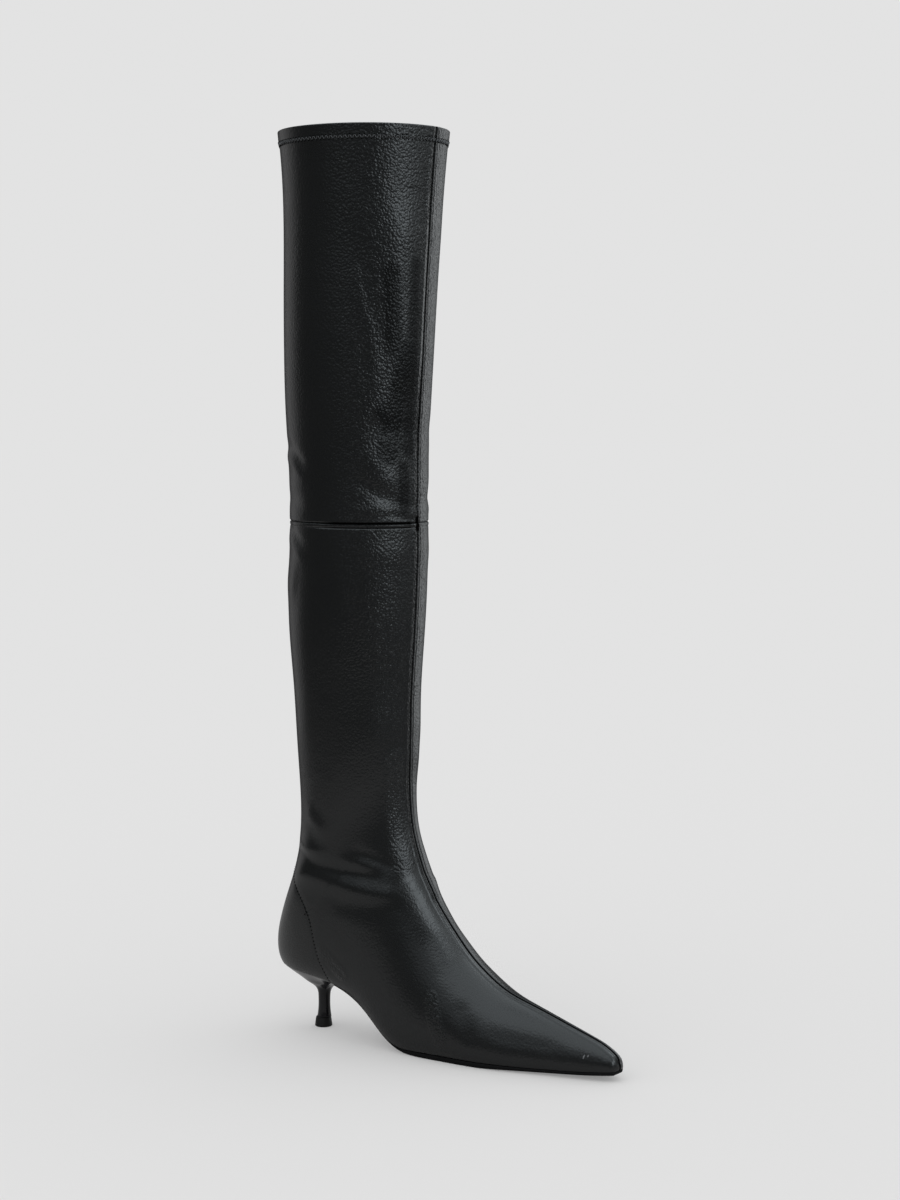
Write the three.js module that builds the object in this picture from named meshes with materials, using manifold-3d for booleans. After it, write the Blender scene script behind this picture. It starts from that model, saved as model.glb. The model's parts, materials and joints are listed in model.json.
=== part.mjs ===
// Thigh high boot for the right foot: pointed toe, kitten heel, soft leather drawn up over the knee.
// Millimetres. The origin is the middle of the heel tip's floor face, +X to the toe, +Y to the inner side.

import * as THREE from "three";
import { mergeVertices } from "three/addons/utils/BufferGeometryUtils.js";
import Module from "manifold-3d";

const wasm = await Module();
wasm.setup();

// Lengths and heights
const FOOT_LENGTH = 281; // back of the heel to the tip of the toe
const HEEL_OVERHANG = 35; // back of the heel behind the tip's axis
const SEAT_HEIGHT = 44; // top of the sole over the heel tip
const TOE_SPRING = 4.6; // underside of the toe above the floor
const ANKLE_HEIGHT = 148; // where the instep turns into the shin
const KNEE_HEIGHT = 364; // seam between the leg and the thigh
const BOOT_HEIGHT = 632; // collar edge

// Widths and depths
const BALL_WIDTH = 73;
const ANKLE_WIDTH = 72;
const LEG_DEPTH = 100.6; // front to back at the knee seam
const LEG_WIDTH = 90;
const THIGH_DEPTH = 121.8; // front to back at the collar
const THIGH_WIDTH = 110.8;

// Leather and hem
const UPPER_WALL = 1.8; // leather with its lining
const THIGH_WALL = 1.5;
const HEM_DEPTH = 9;
const HEM_THICKNESS = 0.5; // the hem stands this far out of the shaft
const COUNTER_THICKNESS = 0.7;

// Sole, insole and heel
const BALL_SOLE = 4; // outsole at the ball of the foot
const WAIST_SOLE = 1.3; // outsole under the arch
const SOLE_BEVEL = 1.4; // the floor side is narrower by this on each side
const INSOLE_THICKNESS = 1.6;
const BREAST_X = 27; // front of the heel under the sole
const STEM_RADIUS = 4.2;
const STEM_X = 0.7; // axis of the stem in front of the tip's axis
const TIP_RADIUS = 6.2;
const TIP_TOP_RADIUS = 5.2;
const TIP_HEIGHT = 7;
const TIP_RIM_HEIGHT = 0.9; // straight rim at the floor

// Fits and facets
const GAP = 0.3; // clearance between pieces that meet
const SINK = 8.5; // how far the last runs on below the top of the sole
const AROUND = 36;
const AROUND_INSIDE = 28;
const HEEL_SIDES = 32;
const WELD = 1e-4; // points nearer than this are one
const HALVINGS = 30; // of a distance that is searched for

// Stations of the foot, toe to heel. Places are shares of FOOT_LENGTH from the back of the heel, the
// ridge's height is a share of ANKLE_HEIGHT, half widths are shares of half BALL_WIDTH.
// ridgeX, ridgeZ, baseX, sink, outer, inner, widest, crown, base
const FOOT_ROWS = [
  [1.0, 0.081, 1.001, -0.06, 0.1, 0.1, 0.5, 2.0, 2.0],
  [0.997, 0.099, 0.998, 0.3, 0.165, 0.165, 0.45, 2.1, 2.2],
  [0.986, 0.12, 0.988, 0.42, 0.22, 0.22, 0.42, 2.0, 2.4],
  [0.956, 0.153, 0.959, 0.58, 0.29, 0.296, 0.38, 1.9, 2.5],
  [0.911, 0.184, 0.916, 0.73, 0.384, 0.395, 0.36, 1.8, 2.5],
  [0.842, 0.226, 0.85, 0.87, 0.515, 0.548, 0.34, 1.8, 2.5],
  [0.772, 0.268, 0.783, 0.94, 0.668, 0.718, 0.32, 1.8, 2.5],
  [0.708, 0.305, 0.719, 1.0, 0.811, 0.877, 0.31, 1.8, 2.5],
  [0.658, 0.349, 0.658, 1.0, 0.904, 0.97, 0.31, 1.8, 2.5],
  [0.613, 0.407, 0.598, 1.0, 0.959, 1.019, 0.31, 1.8, 2.5],
  [0.575, 0.469, 0.537, 1.0, 0.975, 1.03, 0.31, 1.8, 2.7],
  [0.54, 0.541, 0.473, 0.94, 0.966, 1.0, 0.32, 1.85, 3.2],
  [0.509, 0.611, 0.409, 0.87, 0.94, 0.96, 0.34, 1.9, 3.6],
  [0.478, 0.689, 0.345, 1.0, 0.91, 0.935, 0.38, 2.0, 3.2],
  [0.452, 0.766, 0.281, 0.92, 0.91, 0.937, 0.42, 2.05, 2.8],
  [0.434, 0.843, 0.214, 0.85, 0.926, 0.948, 0.44, 2.1, 2.9],
  [0.418, 0.926, 0.139, 0.96, 0.942, 0.953, 0.46, 2.1, 3.0],
  [0.406, 1.0, 0.066, 0.88, 0.948, 0.953, 0.48, 2.1, 2.7],
  [0.399, 1.068, 0.016, 0.08, 0.948, 0.948, 0.5, 2.1, 2.3],
];

// Stations of the ankle. Places are shares of FOOT_LENGTH, heights of ANKLE_HEIGHT, half widths of
// half ANKLE_WIDTH.
// frontX, frontZ, backX, backZ, half, crown, base
const ANKLE_ROWS = [
  [0.395, 1.135, 0.001, 0.385, 0.967, 2.1, 2.05],
  [0.393, 1.196, 0.007, 0.473, 0.978, 2.1, 1.95],
  [0.392, 1.257, 0.026, 0.581, 0.994, 2.1, 1.9],
  [0.393, 1.318, 0.051, 0.696, 1.011, 2.1, 1.9],
  [0.394, 1.378, 0.071, 0.824, 1.033, 2.1, 1.9],
  [0.394, 1.439, 0.082, 0.98, 1.061, 2.1, 1.9],
  [0.395, 1.514, 0.083, 1.162, 1.089, 2.1, 1.95],
];

// Stations of the leg. Rises are shares of the way from the last ankle station to KNEE_HEIGHT, front
// and back are shares of LEG_DEPTH from the leg's axis, half widths of half LEG_WIDTH.
// frontRise, backRise, front, back, half, crown
const LEG_ROWS = [
  [0.114, 0.188, 0.444, -0.45, 0.898, 2.05],
  [0.271, 0.406, 0.456, -0.476, 0.938, 2.0],
  [0.514, 0.625, 0.478, -0.508, 0.996, 2.0],
  [0.757, 0.823, 0.494, -0.503, 1.004, 2.0],
  [1.0, 1.0, 0.5, -0.5, 1.0, 2.0],
];

// Stations of the thigh. Rise is a share of the way from KNEE_HEIGHT to BOOT_HEIGHT, and the others are
// shares of the way from the leg's axis, depth and width at the knee to those at the collar.
// rise, axis, depth, width
const THIGH_ROWS = [
  [0.134, -0.09, 0.0, 0.058],
  [0.284, -0.21, 0.19, 0.202],
  [0.433, -0.03, 0.33, 0.365],
  [0.582, 0.26, 0.434, 0.462],
  [0.731, 0.66, 0.557, 0.538],
  [0.881, 0.97, 0.745, 0.721],
  [1.0, 1.0, 1.0, 1.0],
  [1.06, 1.0, 1.14, 1.18],
];
const LEG_AXIS = 0.237; // share of FOOT_LENGTH
const THIGH_AXIS = 0.251;

// Underside of the sole. Places are shares of FOOT_LENGTH, climb is a share of the seat's underside
// height, spring of TOE_SPRING, and body is how far WAIST_SOLE has grown to BALL_SOLE.
// place, climb, spring, body
const SOLE_ROWS = [
  [-0.02, 1.033, 0.0, 0.0],
  [0.053, 1.023, 0.0, 0.0],
  [0.125, 1.0, 0.0, 0.0],
  [0.171, 0.958, 0.0, 0.0],
  [0.214, 0.888, 0.0, 0.0],
  [0.253, 0.785, 0.0, 0.0],
  [0.285, 0.677, 0.0, 0.0],
  [0.317, 0.548, 0.0, 0.0],
  [0.345, 0.403, 0.0, 0.02],
  [0.374, 0.252, 0.0, 0.05],
  [0.402, 0.131, 0.0, 0.16],
  [0.431, 0.052, 0.0, 0.4],
  [0.459, 0.013, 0.0, 0.67],
  [0.495, 0.0, 0.0, 0.88],
  [0.534, 0.0, 0.0, 0.97],
  [0.587, 0.0, 0.0, 1.0],
  [0.658, 0.0, 0.0, 1.0],
  [0.722, 0.0, 0.174, 0.72],
  [0.786, 0.0, 0.304, 0.5],
  [0.854, 0.0, 0.435, 0.42],
  [0.925, 0.0, 0.63, 0.4],
  [0.979, 0.0, 0.87, 0.4],
  [1.01, 0.0, 1.05, 0.4],
];

// Front edge of the counter, sole to back seam, as shares of FOOT_LENGTH and ANKLE_HEIGHT.
const COUNTER_EDGE = [
  [0.218, 0.2],
  [0.211, 0.302],
  [0.202, 0.36],
  [0.192, 0.432],
  [0.184, 0.51],
  [0.173, 0.59],
  [0.15, 0.67],
  [0.114, 0.75],
  [0.078, 0.815],
  [0.03, 0.885],
];

// The heel's flare. Height is a share of the way from the tip to the seat, spread is how far the stem
// has grown to the seat's outline, and girth is the stem's own radius in STEM_RADIUS.
// height, spread, girth
const FLARE_ROWS = [
  [0.0, 0.0, 1.2],
  [0.12, 0.0, 1.06],
  [0.25, 0.0, 1.0],
  [0.4, 0.0, 1.02],
  [0.5, 0.015, 1.08],
  [0.57, 0.06, 1.2],
  [0.63, 0.16, 1.3],
  [0.69, 0.3, 1.4],
  [0.76, 0.44, 1.5],
  [0.84, 0.62, 1.6],
  [0.92, 0.81, 1.8],
  [0.97, 0.93, 1.9],
  [1.0, 0.985, 2.0],
];

const HALF_TURN = Math.PI;
const lerp = THREE.MathUtils.lerp;
const clamp = THREE.MathUtils.clamp;

// Natural cubic spline through evenly numbered values
function spline(values) {
  const last = values.length - 1;
  const bend = new Array(last + 1).fill(0);
  const ratio = new Array(last + 1).fill(0);
  for (let i = 1; i < last; i += 1) {
    const turn = 6 * (values[i + 1] - 2 * values[i] + values[i - 1]);
    const weight = 4 - ratio[i - 1];
    ratio[i] = 1 / weight;
    bend[i] = (turn - bend[i - 1]) / weight;
  }
  for (let i = last - 1; i > 0; i -= 1) bend[i] -= ratio[i] * bend[i + 1];
  return (t) => {
    const i = clamp(Math.floor(t), 0, last - 1);
    const f = t - i;
    const g = 1 - f;
    const line = g * values[i] + f * values[i + 1];
    return line + ((g ** 3 - g) * bend[i] + (f ** 3 - f) * bend[i + 1]) / 6;
  };
}

// Straight interpolation in a list of pairs that rise in x
function along(pairs, x) {
  const after = pairs.findIndex((pair) => pair[0] >= x);
  if (after < 0) return pairs[pairs.length - 1][1];
  if (after === 0) return pairs[0][1];
  const [x0, y0] = pairs[after - 1];
  const [x1, y1] = pairs[after];
  return lerp(y0, y1, (x - x0) / (x1 - x0));
}

const column = (rows, index) => spline(rows.map((row) => row[index]));
const footX = (share) => share * FOOT_LENGTH - HEEL_OVERHANG;

// Sole lines

const soleColumns = [0, 1, 2, 3].map((index) => column(SOLE_ROWS, index));
const SOLE_STEP = 0.5;
const soleLine = [];
for (let t = 0; t <= SOLE_ROWS.length - 1 + SOLE_STEP / 2; t += SOLE_STEP) {
  const [place, climb, spring, body] = soleColumns.map((at) => at(t));
  const lift = climb * (SEAT_HEIGHT - WAIST_SOLE) + spring * TOE_SPRING;
  const under = Math.max(0, lift);
  const thickness = lerp(WAIST_SOLE, BALL_SOLE, clamp(body, 0, 1));
  soleLine.push([footX(place), under, under + thickness]);
}
const underLine = soleLine.map(([x, under]) => [x, under]);
const seatLine = soleLine.map(([x, , top]) => [x, top]);
const soleUnder = (x) => along(underLine, x);
const soleTop = (x) => along(seatLine, x);

// The last: stations in millimetres, then one smooth skin through them
// frontX, frontZ, backX, backZ, outer, inner, widest, crown, base

function footStation([ridgeX, ridgeZ, baseX, sink, outer, inner, ...shape]) {
  const x = footX(baseX);
  const halfWidth = BALL_WIDTH / 2;
  const z = soleTop(x) - sink * SINK;
  return [footX(ridgeX), ridgeZ * ANKLE_HEIGHT, x, z, outer * halfWidth, inner * halfWidth, ...shape];
}

function ankleStation([frontX, frontZ, backX, backZ, half, crown, base]) {
  const y = (half * ANKLE_WIDTH) / 2;
  const front = [footX(frontX), frontZ * ANKLE_HEIGHT];
  return [...front, footX(backX), backZ * ANKLE_HEIGHT, y, y, 0.5, crown, base];
}

function legStation([frontRise, backRise, front, back, half, crown]) {
  const [, frontFoot, , backFoot] = ANKLE_ROWS[ANKLE_ROWS.length - 1];
  const frontZ = lerp(frontFoot * ANKLE_HEIGHT, KNEE_HEIGHT, frontRise);
  const backZ = lerp(backFoot * ANKLE_HEIGHT, KNEE_HEIGHT, backRise);
  const axis = footX(LEG_AXIS);
  const y = (half * LEG_WIDTH) / 2;
  return [axis + front * LEG_DEPTH, frontZ, axis + back * LEG_DEPTH, backZ, y, y, 0.5, crown, 2];
}

function thighStation([rise, axisShare, depthShare, widthShare]) {
  const z = lerp(KNEE_HEIGHT, BOOT_HEIGHT, rise);
  const axis = footX(lerp(LEG_AXIS, THIGH_AXIS, axisShare));
  const reach = lerp(LEG_DEPTH, THIGH_DEPTH, depthShare) / 2;
  const y = lerp(LEG_WIDTH, THIGH_WIDTH, widthShare) / 2;
  return [axis + reach, z, axis - reach, z, y, y, 0.5, 2, 2];
}

const stations = [
  ...FOOT_ROWS.map(footStation),
  ...ANKLE_ROWS.map(ankleStation),
  ...LEG_ROWS.map(legStation),
  ...THIGH_ROWS.map(thighStation),
];
const stationColumns = stations[0].map((_, index) => column(stations, index));
const ANKLE_AT = FOOT_ROWS.length;
const KNEE_AT = ANKLE_AT + ANKLE_ROWS.length + LEG_ROWS.length - 1;
const COLLAR_AT = stations.length - 2;

const power = (value, exponent) => Math.sign(value) * Math.abs(value) ** exponent;

// Point of the skin at station t, with angle 0 on the outer side and a quarter turn at the ridge
function skin(t, angle) {
  const [frontX, frontZ, backX, backZ, outer, inner, widest, crown, base] = stationColumns.map((at) =>
    at(t)
  );
  const cosine = Math.cos(angle);
  const sine = Math.sin(angle);
  const curve = 2 / (sine >= 0 ? crown : base);
  const side = cosine >= 0 ? -outer : -inner;
  const reach = sine >= 0 ? 1 - widest : widest;
  const up = widest + reach * power(sine, curve);
  return new THREE.Vector3(
    lerp(backX, frontX, up),
    side * power(cosine, curve),
    lerp(backZ, frontZ, up)
  );
}

// The same point moved in along the skin's normal
const NUDGE_STATION = 0.03;
const NUDGE_ANGLE = 0.02;
function insideSkin(t, angle, inset) {
  const here = skin(t, angle);
  if (inset === 0) return here;
  const first = Math.max(0, t - NUDGE_STATION);
  const alongFoot = skin(t + NUDGE_STATION, angle).sub(skin(first, angle));
  const round = skin(t, angle + NUDGE_ANGLE).sub(skin(t, angle - NUDGE_ANGLE));
  return here.addScaledVector(alongFoot.cross(round).normalize(), inset);
}

// Solids

function solidOf(geometry) {
  const bare = geometry.clone();
  bare.deleteAttribute("normal");
  bare.deleteAttribute("uv");
  const merged = mergeVertices(bare, WELD);
  return new wasm.Manifold(
    new wasm.Mesh({
      numProp: 3,
      vertProperties: merged.attributes.position.array,
      triVerts: new Uint32Array(merged.index.array),
    })
  );
}

function meshOf(name, solid, material) {
  const { numProp, vertProperties, triVerts } = solid.getMesh();
  const position = new Float32Array((vertProperties.length / numProp) * 3);
  for (let i = 0; i < position.length / 3; i += 1) {
    position.set(vertProperties.subarray(i * numProp, i * numProp + 3), i * 3);
  }
  const geometry = new THREE.BufferGeometry();
  geometry.setAttribute("position", new THREE.BufferAttribute(position, 3));
  geometry.setIndex(new THREE.BufferAttribute(new Uint32Array(triVerts), 1));
  geometry.computeVertexNormals();
  const mesh = new THREE.Mesh(geometry, material);
  mesh.name = name;
  return mesh;
}

// A closed solid whose rings come from place(ring, angle) and whose end caps meet at the rings' middles.
// It is bent from a cylinder of height 1, whose rings lie between y = 0.5 and y = -0.5.
function ringSolid(rings, sides, place) {
  const spans = rings.length - 1;
  const geometry = new THREE.CylinderGeometry(1, 1, 1, sides, spans);
  const position = geometry.attributes.position;
  const middle = (ring) => place(ring, 0).add(place(ring, HALF_TURN)).multiplyScalar(0.5);
  for (let i = 0; i < position.count; i += 1) {
    const ring = rings[Math.round((0.5 - position.getY(i)) * spans)];
    const x = position.getX(i);
    const z = position.getZ(i);
    const turn = Math.round((Math.atan2(z, x) / HALF_TURN) * (sides / 2));
    const angle = (turn * HALF_TURN) / (sides / 2);
    const point = Math.hypot(x, z) < 0.5 ? middle(ring) : place(ring, angle);
    position.setXYZ(i, point.x, point.y, point.z);
  }
  return solidOf(geometry);
}

const skinSolid = (rings, sides, inset) =>
  ringSolid(rings, sides, (t, angle) => insideSkin(t, angle, inset));

function steps(first, last, step) {
  const count = Math.round((last - first) / step);
  return Array.from({ length: count + 1 }, (_, i) => first + i * step);
}

// A prism across the boot from points of its side view
const BOOT_SPAN = 2 * (THIGH_WIDTH + BALL_WIDTH);
function sidePrism(points) {
  const shape = new THREE.Shape(points.map(([x, z]) => new THREE.Vector2(x, z)));
  const geometry = new THREE.ExtrudeGeometry(shape, { depth: BOOT_SPAN, bevelEnabled: false });
  geometry.translate(0, 0, -BOOT_SPAN / 2);
  geometry.rotateX(HALF_TURN / 2);
  return solidOf(geometry);
}

const REACH = 2 * FOOT_LENGTH;
const DEEP = SEAT_HEIGHT + REACH;

// All that lies under the top of the sole, raised by lift
const underSole = (lift) =>
  sidePrism([
    [-REACH, -DEEP],
    [REACH, -DEEP],
    [REACH, soleTop(REACH) + lift],
    ...seatLine.map(([x, z]) => [x, z + lift]).reverse(),
    [-REACH, soleTop(-REACH) + lift],
  ]);

// All that lies over the top of the sole
const overSole = () =>
  sidePrism([
    [-REACH, DEEP],
    [-REACH, soleTop(-REACH)],
    ...seatLine,
    [REACH, soleTop(REACH)],
    [REACH, DEEP],
  ]);

function slab(fromZ, toZ) {
  const geometry = new THREE.BoxGeometry(2 * REACH, 2 * REACH, toZ - fromZ);
  geometry.translate(0, 0, (fromZ + toZ) / 2);
  return solidOf(geometry);
}
const above = (z) => slab(z, z + BOOT_HEIGHT);
const below = (z) => slab(z - BOOT_HEIGHT, z);

// Upper: one hollow skin from the toe to the knee seam

const TOE_INSIDE_AT = 1.5; // first station of the hollow, behind the toe's thick tip
const TOE_GAP = 0.1; // the insole's own first station lies this far behind it
const KNEE_RUN_ON = 0.2;
const HALF_STATION = 0.5;
const COUNTER_FROM = 11; // first station of the form under the counter
const POINTS_A_SPAN = 3; // along the counter's edge
const footRings = steps(0, ANKLE_AT, HALF_STATION);
const upperRings = [...footRings, ...steps(ANKLE_AT + 1, KNEE_AT, 1), KNEE_AT + KNEE_RUN_ON];
const hollowRings = [TOE_INSIDE_AT, ...steps(2, KNEE_AT, 1), KNEE_AT + 2 * KNEE_RUN_ON];
const lastForm = skinSolid(upperRings, AROUND, 0);
const counterRings = steps(COUNTER_FROM, KNEE_AT, 1);

function counterPrism(clearance) {
  const path = new THREE.SplineCurve(
    COUNTER_EDGE.map(([x, z]) => new THREE.Vector2(footX(x) - clearance, z * ANKLE_HEIGHT))
  );
  const edge = path.getPoints(POINTS_A_SPAN * COUNTER_EDGE.length).map((point) => [point.x, point.y]);
  const top = edge[edge.length - 1][1];
  return sidePrism([...edge, [-REACH, top], [-REACH, edge[0][1]]]);
}

function makeUpper() {
  const recess = counterPrism(0).subtract(skinSolid(counterRings, AROUND, COUNTER_THICKNESS + GAP));
  return lastForm
    .subtract(recess)
    .subtract(skinSolid(hollowRings, AROUND_INSIDE, UPPER_WALL))
    .subtract(underSole(GAP))
    .subtract(above(KNEE_HEIGHT - GAP / 2));
}

// Counter: the leather over the back of the heel, let into the upper's recess
function makeCounter() {
  return lastForm
    .intersect(counterPrism(GAP))
    .subtract(skinSolid(counterRings, AROUND, COUNTER_THICKNESS))
    .subtract(underSole(GAP));
}

// Thigh shaft: the part above the knee seam, with the folded hem at its collar
function makeThigh() {
  const run = [KNEE_AT - KNEE_RUN_ON, ...steps(KNEE_AT, COLLAR_AT, 1), COLLAR_AT + KNEE_RUN_ON];
  const hollow = [KNEE_AT - 2 * KNEE_RUN_ON, ...steps(KNEE_AT, COLLAR_AT, 1), COLLAR_AT + HALF_STATION];
  const hemRun = [COLLAR_AT - HALF_STATION, COLLAR_AT, COLLAR_AT + KNEE_RUN_ON];
  const hem = skinSolid(hemRun, AROUND, -HEM_THICKNESS).subtract(below(BOOT_HEIGHT - HEM_DEPTH));
  return skinSolid(run, AROUND, 0)
    .add(hem)
    .subtract(skinSolid(hollow, AROUND_INSIDE, THIGH_WALL))
    .subtract(above(BOOT_HEIGHT))
    .subtract(below(KNEE_HEIGHT + GAP / 2));
}

// Outlines at the top of the sole: where the skin meets it, heel to toe, on each side

const EDGE_STEP = 0.2;
const EDGE_TURNS = 24;
function edgeOf(side) {
  const over = (point) => point.z - soleTop(point.x);
  const at = (t, k) => {
    const down = (-HALF_TURN / 2) * (k / EDGE_TURNS);
    return skin(t, side < 0 ? down : -HALF_TURN - down);
  };
  const found = [];
  for (let t = ANKLE_AT + 1; t >= 0; t -= EDGE_STEP) {
    for (let k = 0; k < EDGE_TURNS; k += 1) {
      const high = at(t, k);
      const low = at(t, k + 1);
      if (over(high) > 0 && over(low) <= 0) {
        const share = over(high) / (over(high) - over(low));
        const point = high.lerp(low, share);
        found.push([point.x, Math.abs(point.y)]);
        break;
      }
    }
  }
  return found.filter(([x], i) => i === 0 || x > found[i - 1][0]);
}

// A plate along the foot between two edges, with its top and underside as functions of x. It bends at
// the sole line's own points, and has closer steps where its ends turn round.
const PLATE_LANES = 4;
const END_STEPS = [0, 0.15, 0.45, 1]; // shares of BALL_SOLE
const BEND_CLEAR = 4 * GAP; // least distance of a bend from either end
function plate(outer, inner, fromX, toX, top, under, bevel) {
  const ends = END_STEPS.flatMap((step) => [fromX + step * BALL_SOLE, toX - step * BALL_SOLE]);
  const bends = seatLine.map(([x]) => x).filter((x) => x > fromX + BEND_CLEAR && x < toX - BEND_CLEAR);
  const places = [...ends, ...bends].sort((a, b) => a - b);
  const spans = places.length - 1;
  const geometry = new THREE.BoxGeometry(1, 1, 1, spans, PLATE_LANES, 1);
  const position = geometry.attributes.position;
  for (let i = 0; i < position.count; i += 1) {
    const x = places[Math.round((position.getX(i) + 0.5) * spans)];
    const upside = position.getZ(i) > 0;
    const trim = upside ? 0 : bevel;
    const low = Math.max(along(outer, x) - trim, GAP);
    const high = Math.max(along(inner, x) - trim, GAP);
    const y = lerp(-low, high, position.getY(i) + 0.5);
    position.setXYZ(i, x, y, upside ? top(x) : under(x));
  }
  return solidOf(geometry);
}

const outerEdge = edgeOf(-1);
const innerEdge = edgeOf(1);
const TOE_X = Math.min(outerEdge[outerEdge.length - 1][0], innerEdge[innerEdge.length - 1][0]);
const HEEL_X = Math.max(outerEdge[0][0], innerEdge[0][0]);

function makeOutsole() {
  const fromX = BREAST_X + GAP;
  return plate(outerEdge, innerEdge, fromX, TOE_X, soleTop, soleUnder, SOLE_BEVEL);
}

// Insole: lies on the sole inside the upper
function makeInsole() {
  const insideRings = [TOE_INSIDE_AT + TOE_GAP, ...steps(2, ANKLE_AT + 2, 1)];
  const room = skinSolid(insideRings, AROUND_INSIDE, UPPER_WALL + GAP);
  const top = (x) => soleTop(x) + GAP + INSOLE_THICKNESS;
  const under = (x) => soleTop(x) + GAP;
  return plate(outerEdge, innerEdge, HEEL_X, TOE_X, top, under, 0).intersect(room);
}

// Heel: a slim round stem that flares into the outline of the seat

function seatRadius(angle) {
  const away = new THREE.Vector2(Math.cos(angle), Math.sin(angle));
  const edge = away.y < 0 ? outerEdge : innerEdge;
  let near = 0;
  let far = HEEL_OVERHANG + BALL_WIDTH;
  for (let i = 0; i < HALVINGS; i += 1) {
    const radius = (near + far) / 2;
    const x = STEM_X + away.x * radius;
    const inside = x > HEEL_X && x < BREAST_X && Math.abs(away.y) * radius < along(edge, x);
    if (inside) near = radius;
    else far = radius;
  }
  return near;
}

const flareColumns = [0, 1, 2].map((index) => column(FLARE_ROWS, index));
function heelPoint(ring, angle) {
  const [height, spread, girth] = flareColumns.map((at) => at(ring));
  const base = TIP_HEIGHT + GAP;
  const seatBack = soleTop(HEEL_X);
  const radius = lerp(girth * STEM_RADIUS, seatRadius(angle), clamp(spread, 0, 1));
  const x = STEM_X + radius * Math.cos(angle);
  const tilt = (soleTop(x) - seatBack) * clamp(spread, 0, 1);
  return new THREE.Vector3(x, radius * Math.sin(angle), lerp(base, seatBack, height) + tilt);
}

function makeHeel() {
  const last = FLARE_ROWS.length - 1;
  const place = (ring, angle) => {
    const point = heelPoint(Math.min(ring, last), angle);
    return ring > last ? point.setZ(point.z + SINK) : point;
  };
  return ringSolid(steps(0, last + 1, 1), HEEL_SIDES, place).subtract(overSole());
}

// Heel tip: the small hard piece that stands on the floor
function makeTip() {
  const profile = [
    [0, 0],
    [TIP_RADIUS, 0],
    [TIP_RADIUS, TIP_RIM_HEIGHT],
    [TIP_TOP_RADIUS, TIP_HEIGHT],
    [0, TIP_HEIGHT],
  ];
  const geometry = new THREE.LatheGeometry(
    profile.map(([r, z]) => new THREE.Vector2(r, z)),
    HEEL_SIDES
  );
  geometry.rotateX(HALF_TURN / 2);
  return solidOf(geometry);
}

// Materials and assembly

const paint = (color, roughness) => new THREE.MeshStandardMaterial({ color, roughness, metalness: 0 });
const leather = () => paint("#15181a", 0.42);
const soleLeather = paint("#0d0d0e", 0.5);
const lining = paint("#2a2624", 0.7);
const heelLacquer = paint("#0a0a0b", 0.15);
const tipRubber = paint("#101011", 0.4);
const boot = new THREE.Group();
boot.add(
  meshOf("outsole", makeOutsole(), soleLeather),
  meshOf("upper", makeUpper(), leather()),
  meshOf("insole", makeInsole(), lining),
  meshOf("counter", makeCounter(), leather()),
  meshOf("thigh_shaft", makeThigh(), leather()),
  meshOf("heel", makeHeel(), heelLacquer),
  meshOf("heel_tip", makeTip(), tipRubber)
);

export default boot;
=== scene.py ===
import json
import math

import bmesh
import bpy
import numpy as np
from mathutils import Matrix, Vector

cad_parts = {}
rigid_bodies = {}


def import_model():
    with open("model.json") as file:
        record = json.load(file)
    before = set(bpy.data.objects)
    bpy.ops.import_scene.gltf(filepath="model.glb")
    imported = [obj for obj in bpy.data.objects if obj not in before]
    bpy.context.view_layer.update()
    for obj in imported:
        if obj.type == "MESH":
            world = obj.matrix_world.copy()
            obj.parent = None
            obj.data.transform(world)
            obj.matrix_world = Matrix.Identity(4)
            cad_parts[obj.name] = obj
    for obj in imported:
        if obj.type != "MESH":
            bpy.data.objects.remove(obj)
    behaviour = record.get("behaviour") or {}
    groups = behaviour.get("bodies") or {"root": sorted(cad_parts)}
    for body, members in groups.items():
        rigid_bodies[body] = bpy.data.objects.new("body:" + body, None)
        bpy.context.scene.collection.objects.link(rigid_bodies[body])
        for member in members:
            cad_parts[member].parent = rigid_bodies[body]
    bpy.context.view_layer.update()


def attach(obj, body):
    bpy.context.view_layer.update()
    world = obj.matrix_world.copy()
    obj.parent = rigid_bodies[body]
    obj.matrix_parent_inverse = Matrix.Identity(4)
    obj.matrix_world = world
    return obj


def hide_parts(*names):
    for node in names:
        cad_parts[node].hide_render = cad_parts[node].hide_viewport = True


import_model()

bl_info = {
    "name": "Thigh High Boot",
    "version": (1, 0, 0),
    "blender": (4, 2, 0),
    "location": "View3D > Sidebar > Boot",
    "description": "Pointed thigh high boot for the right foot, with its sole, heel, seams and studio",
    "category": "Add Mesh",
}

MM = 0.001
QUARTER = math.pi / 2
HALF_TURN = math.pi

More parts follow.
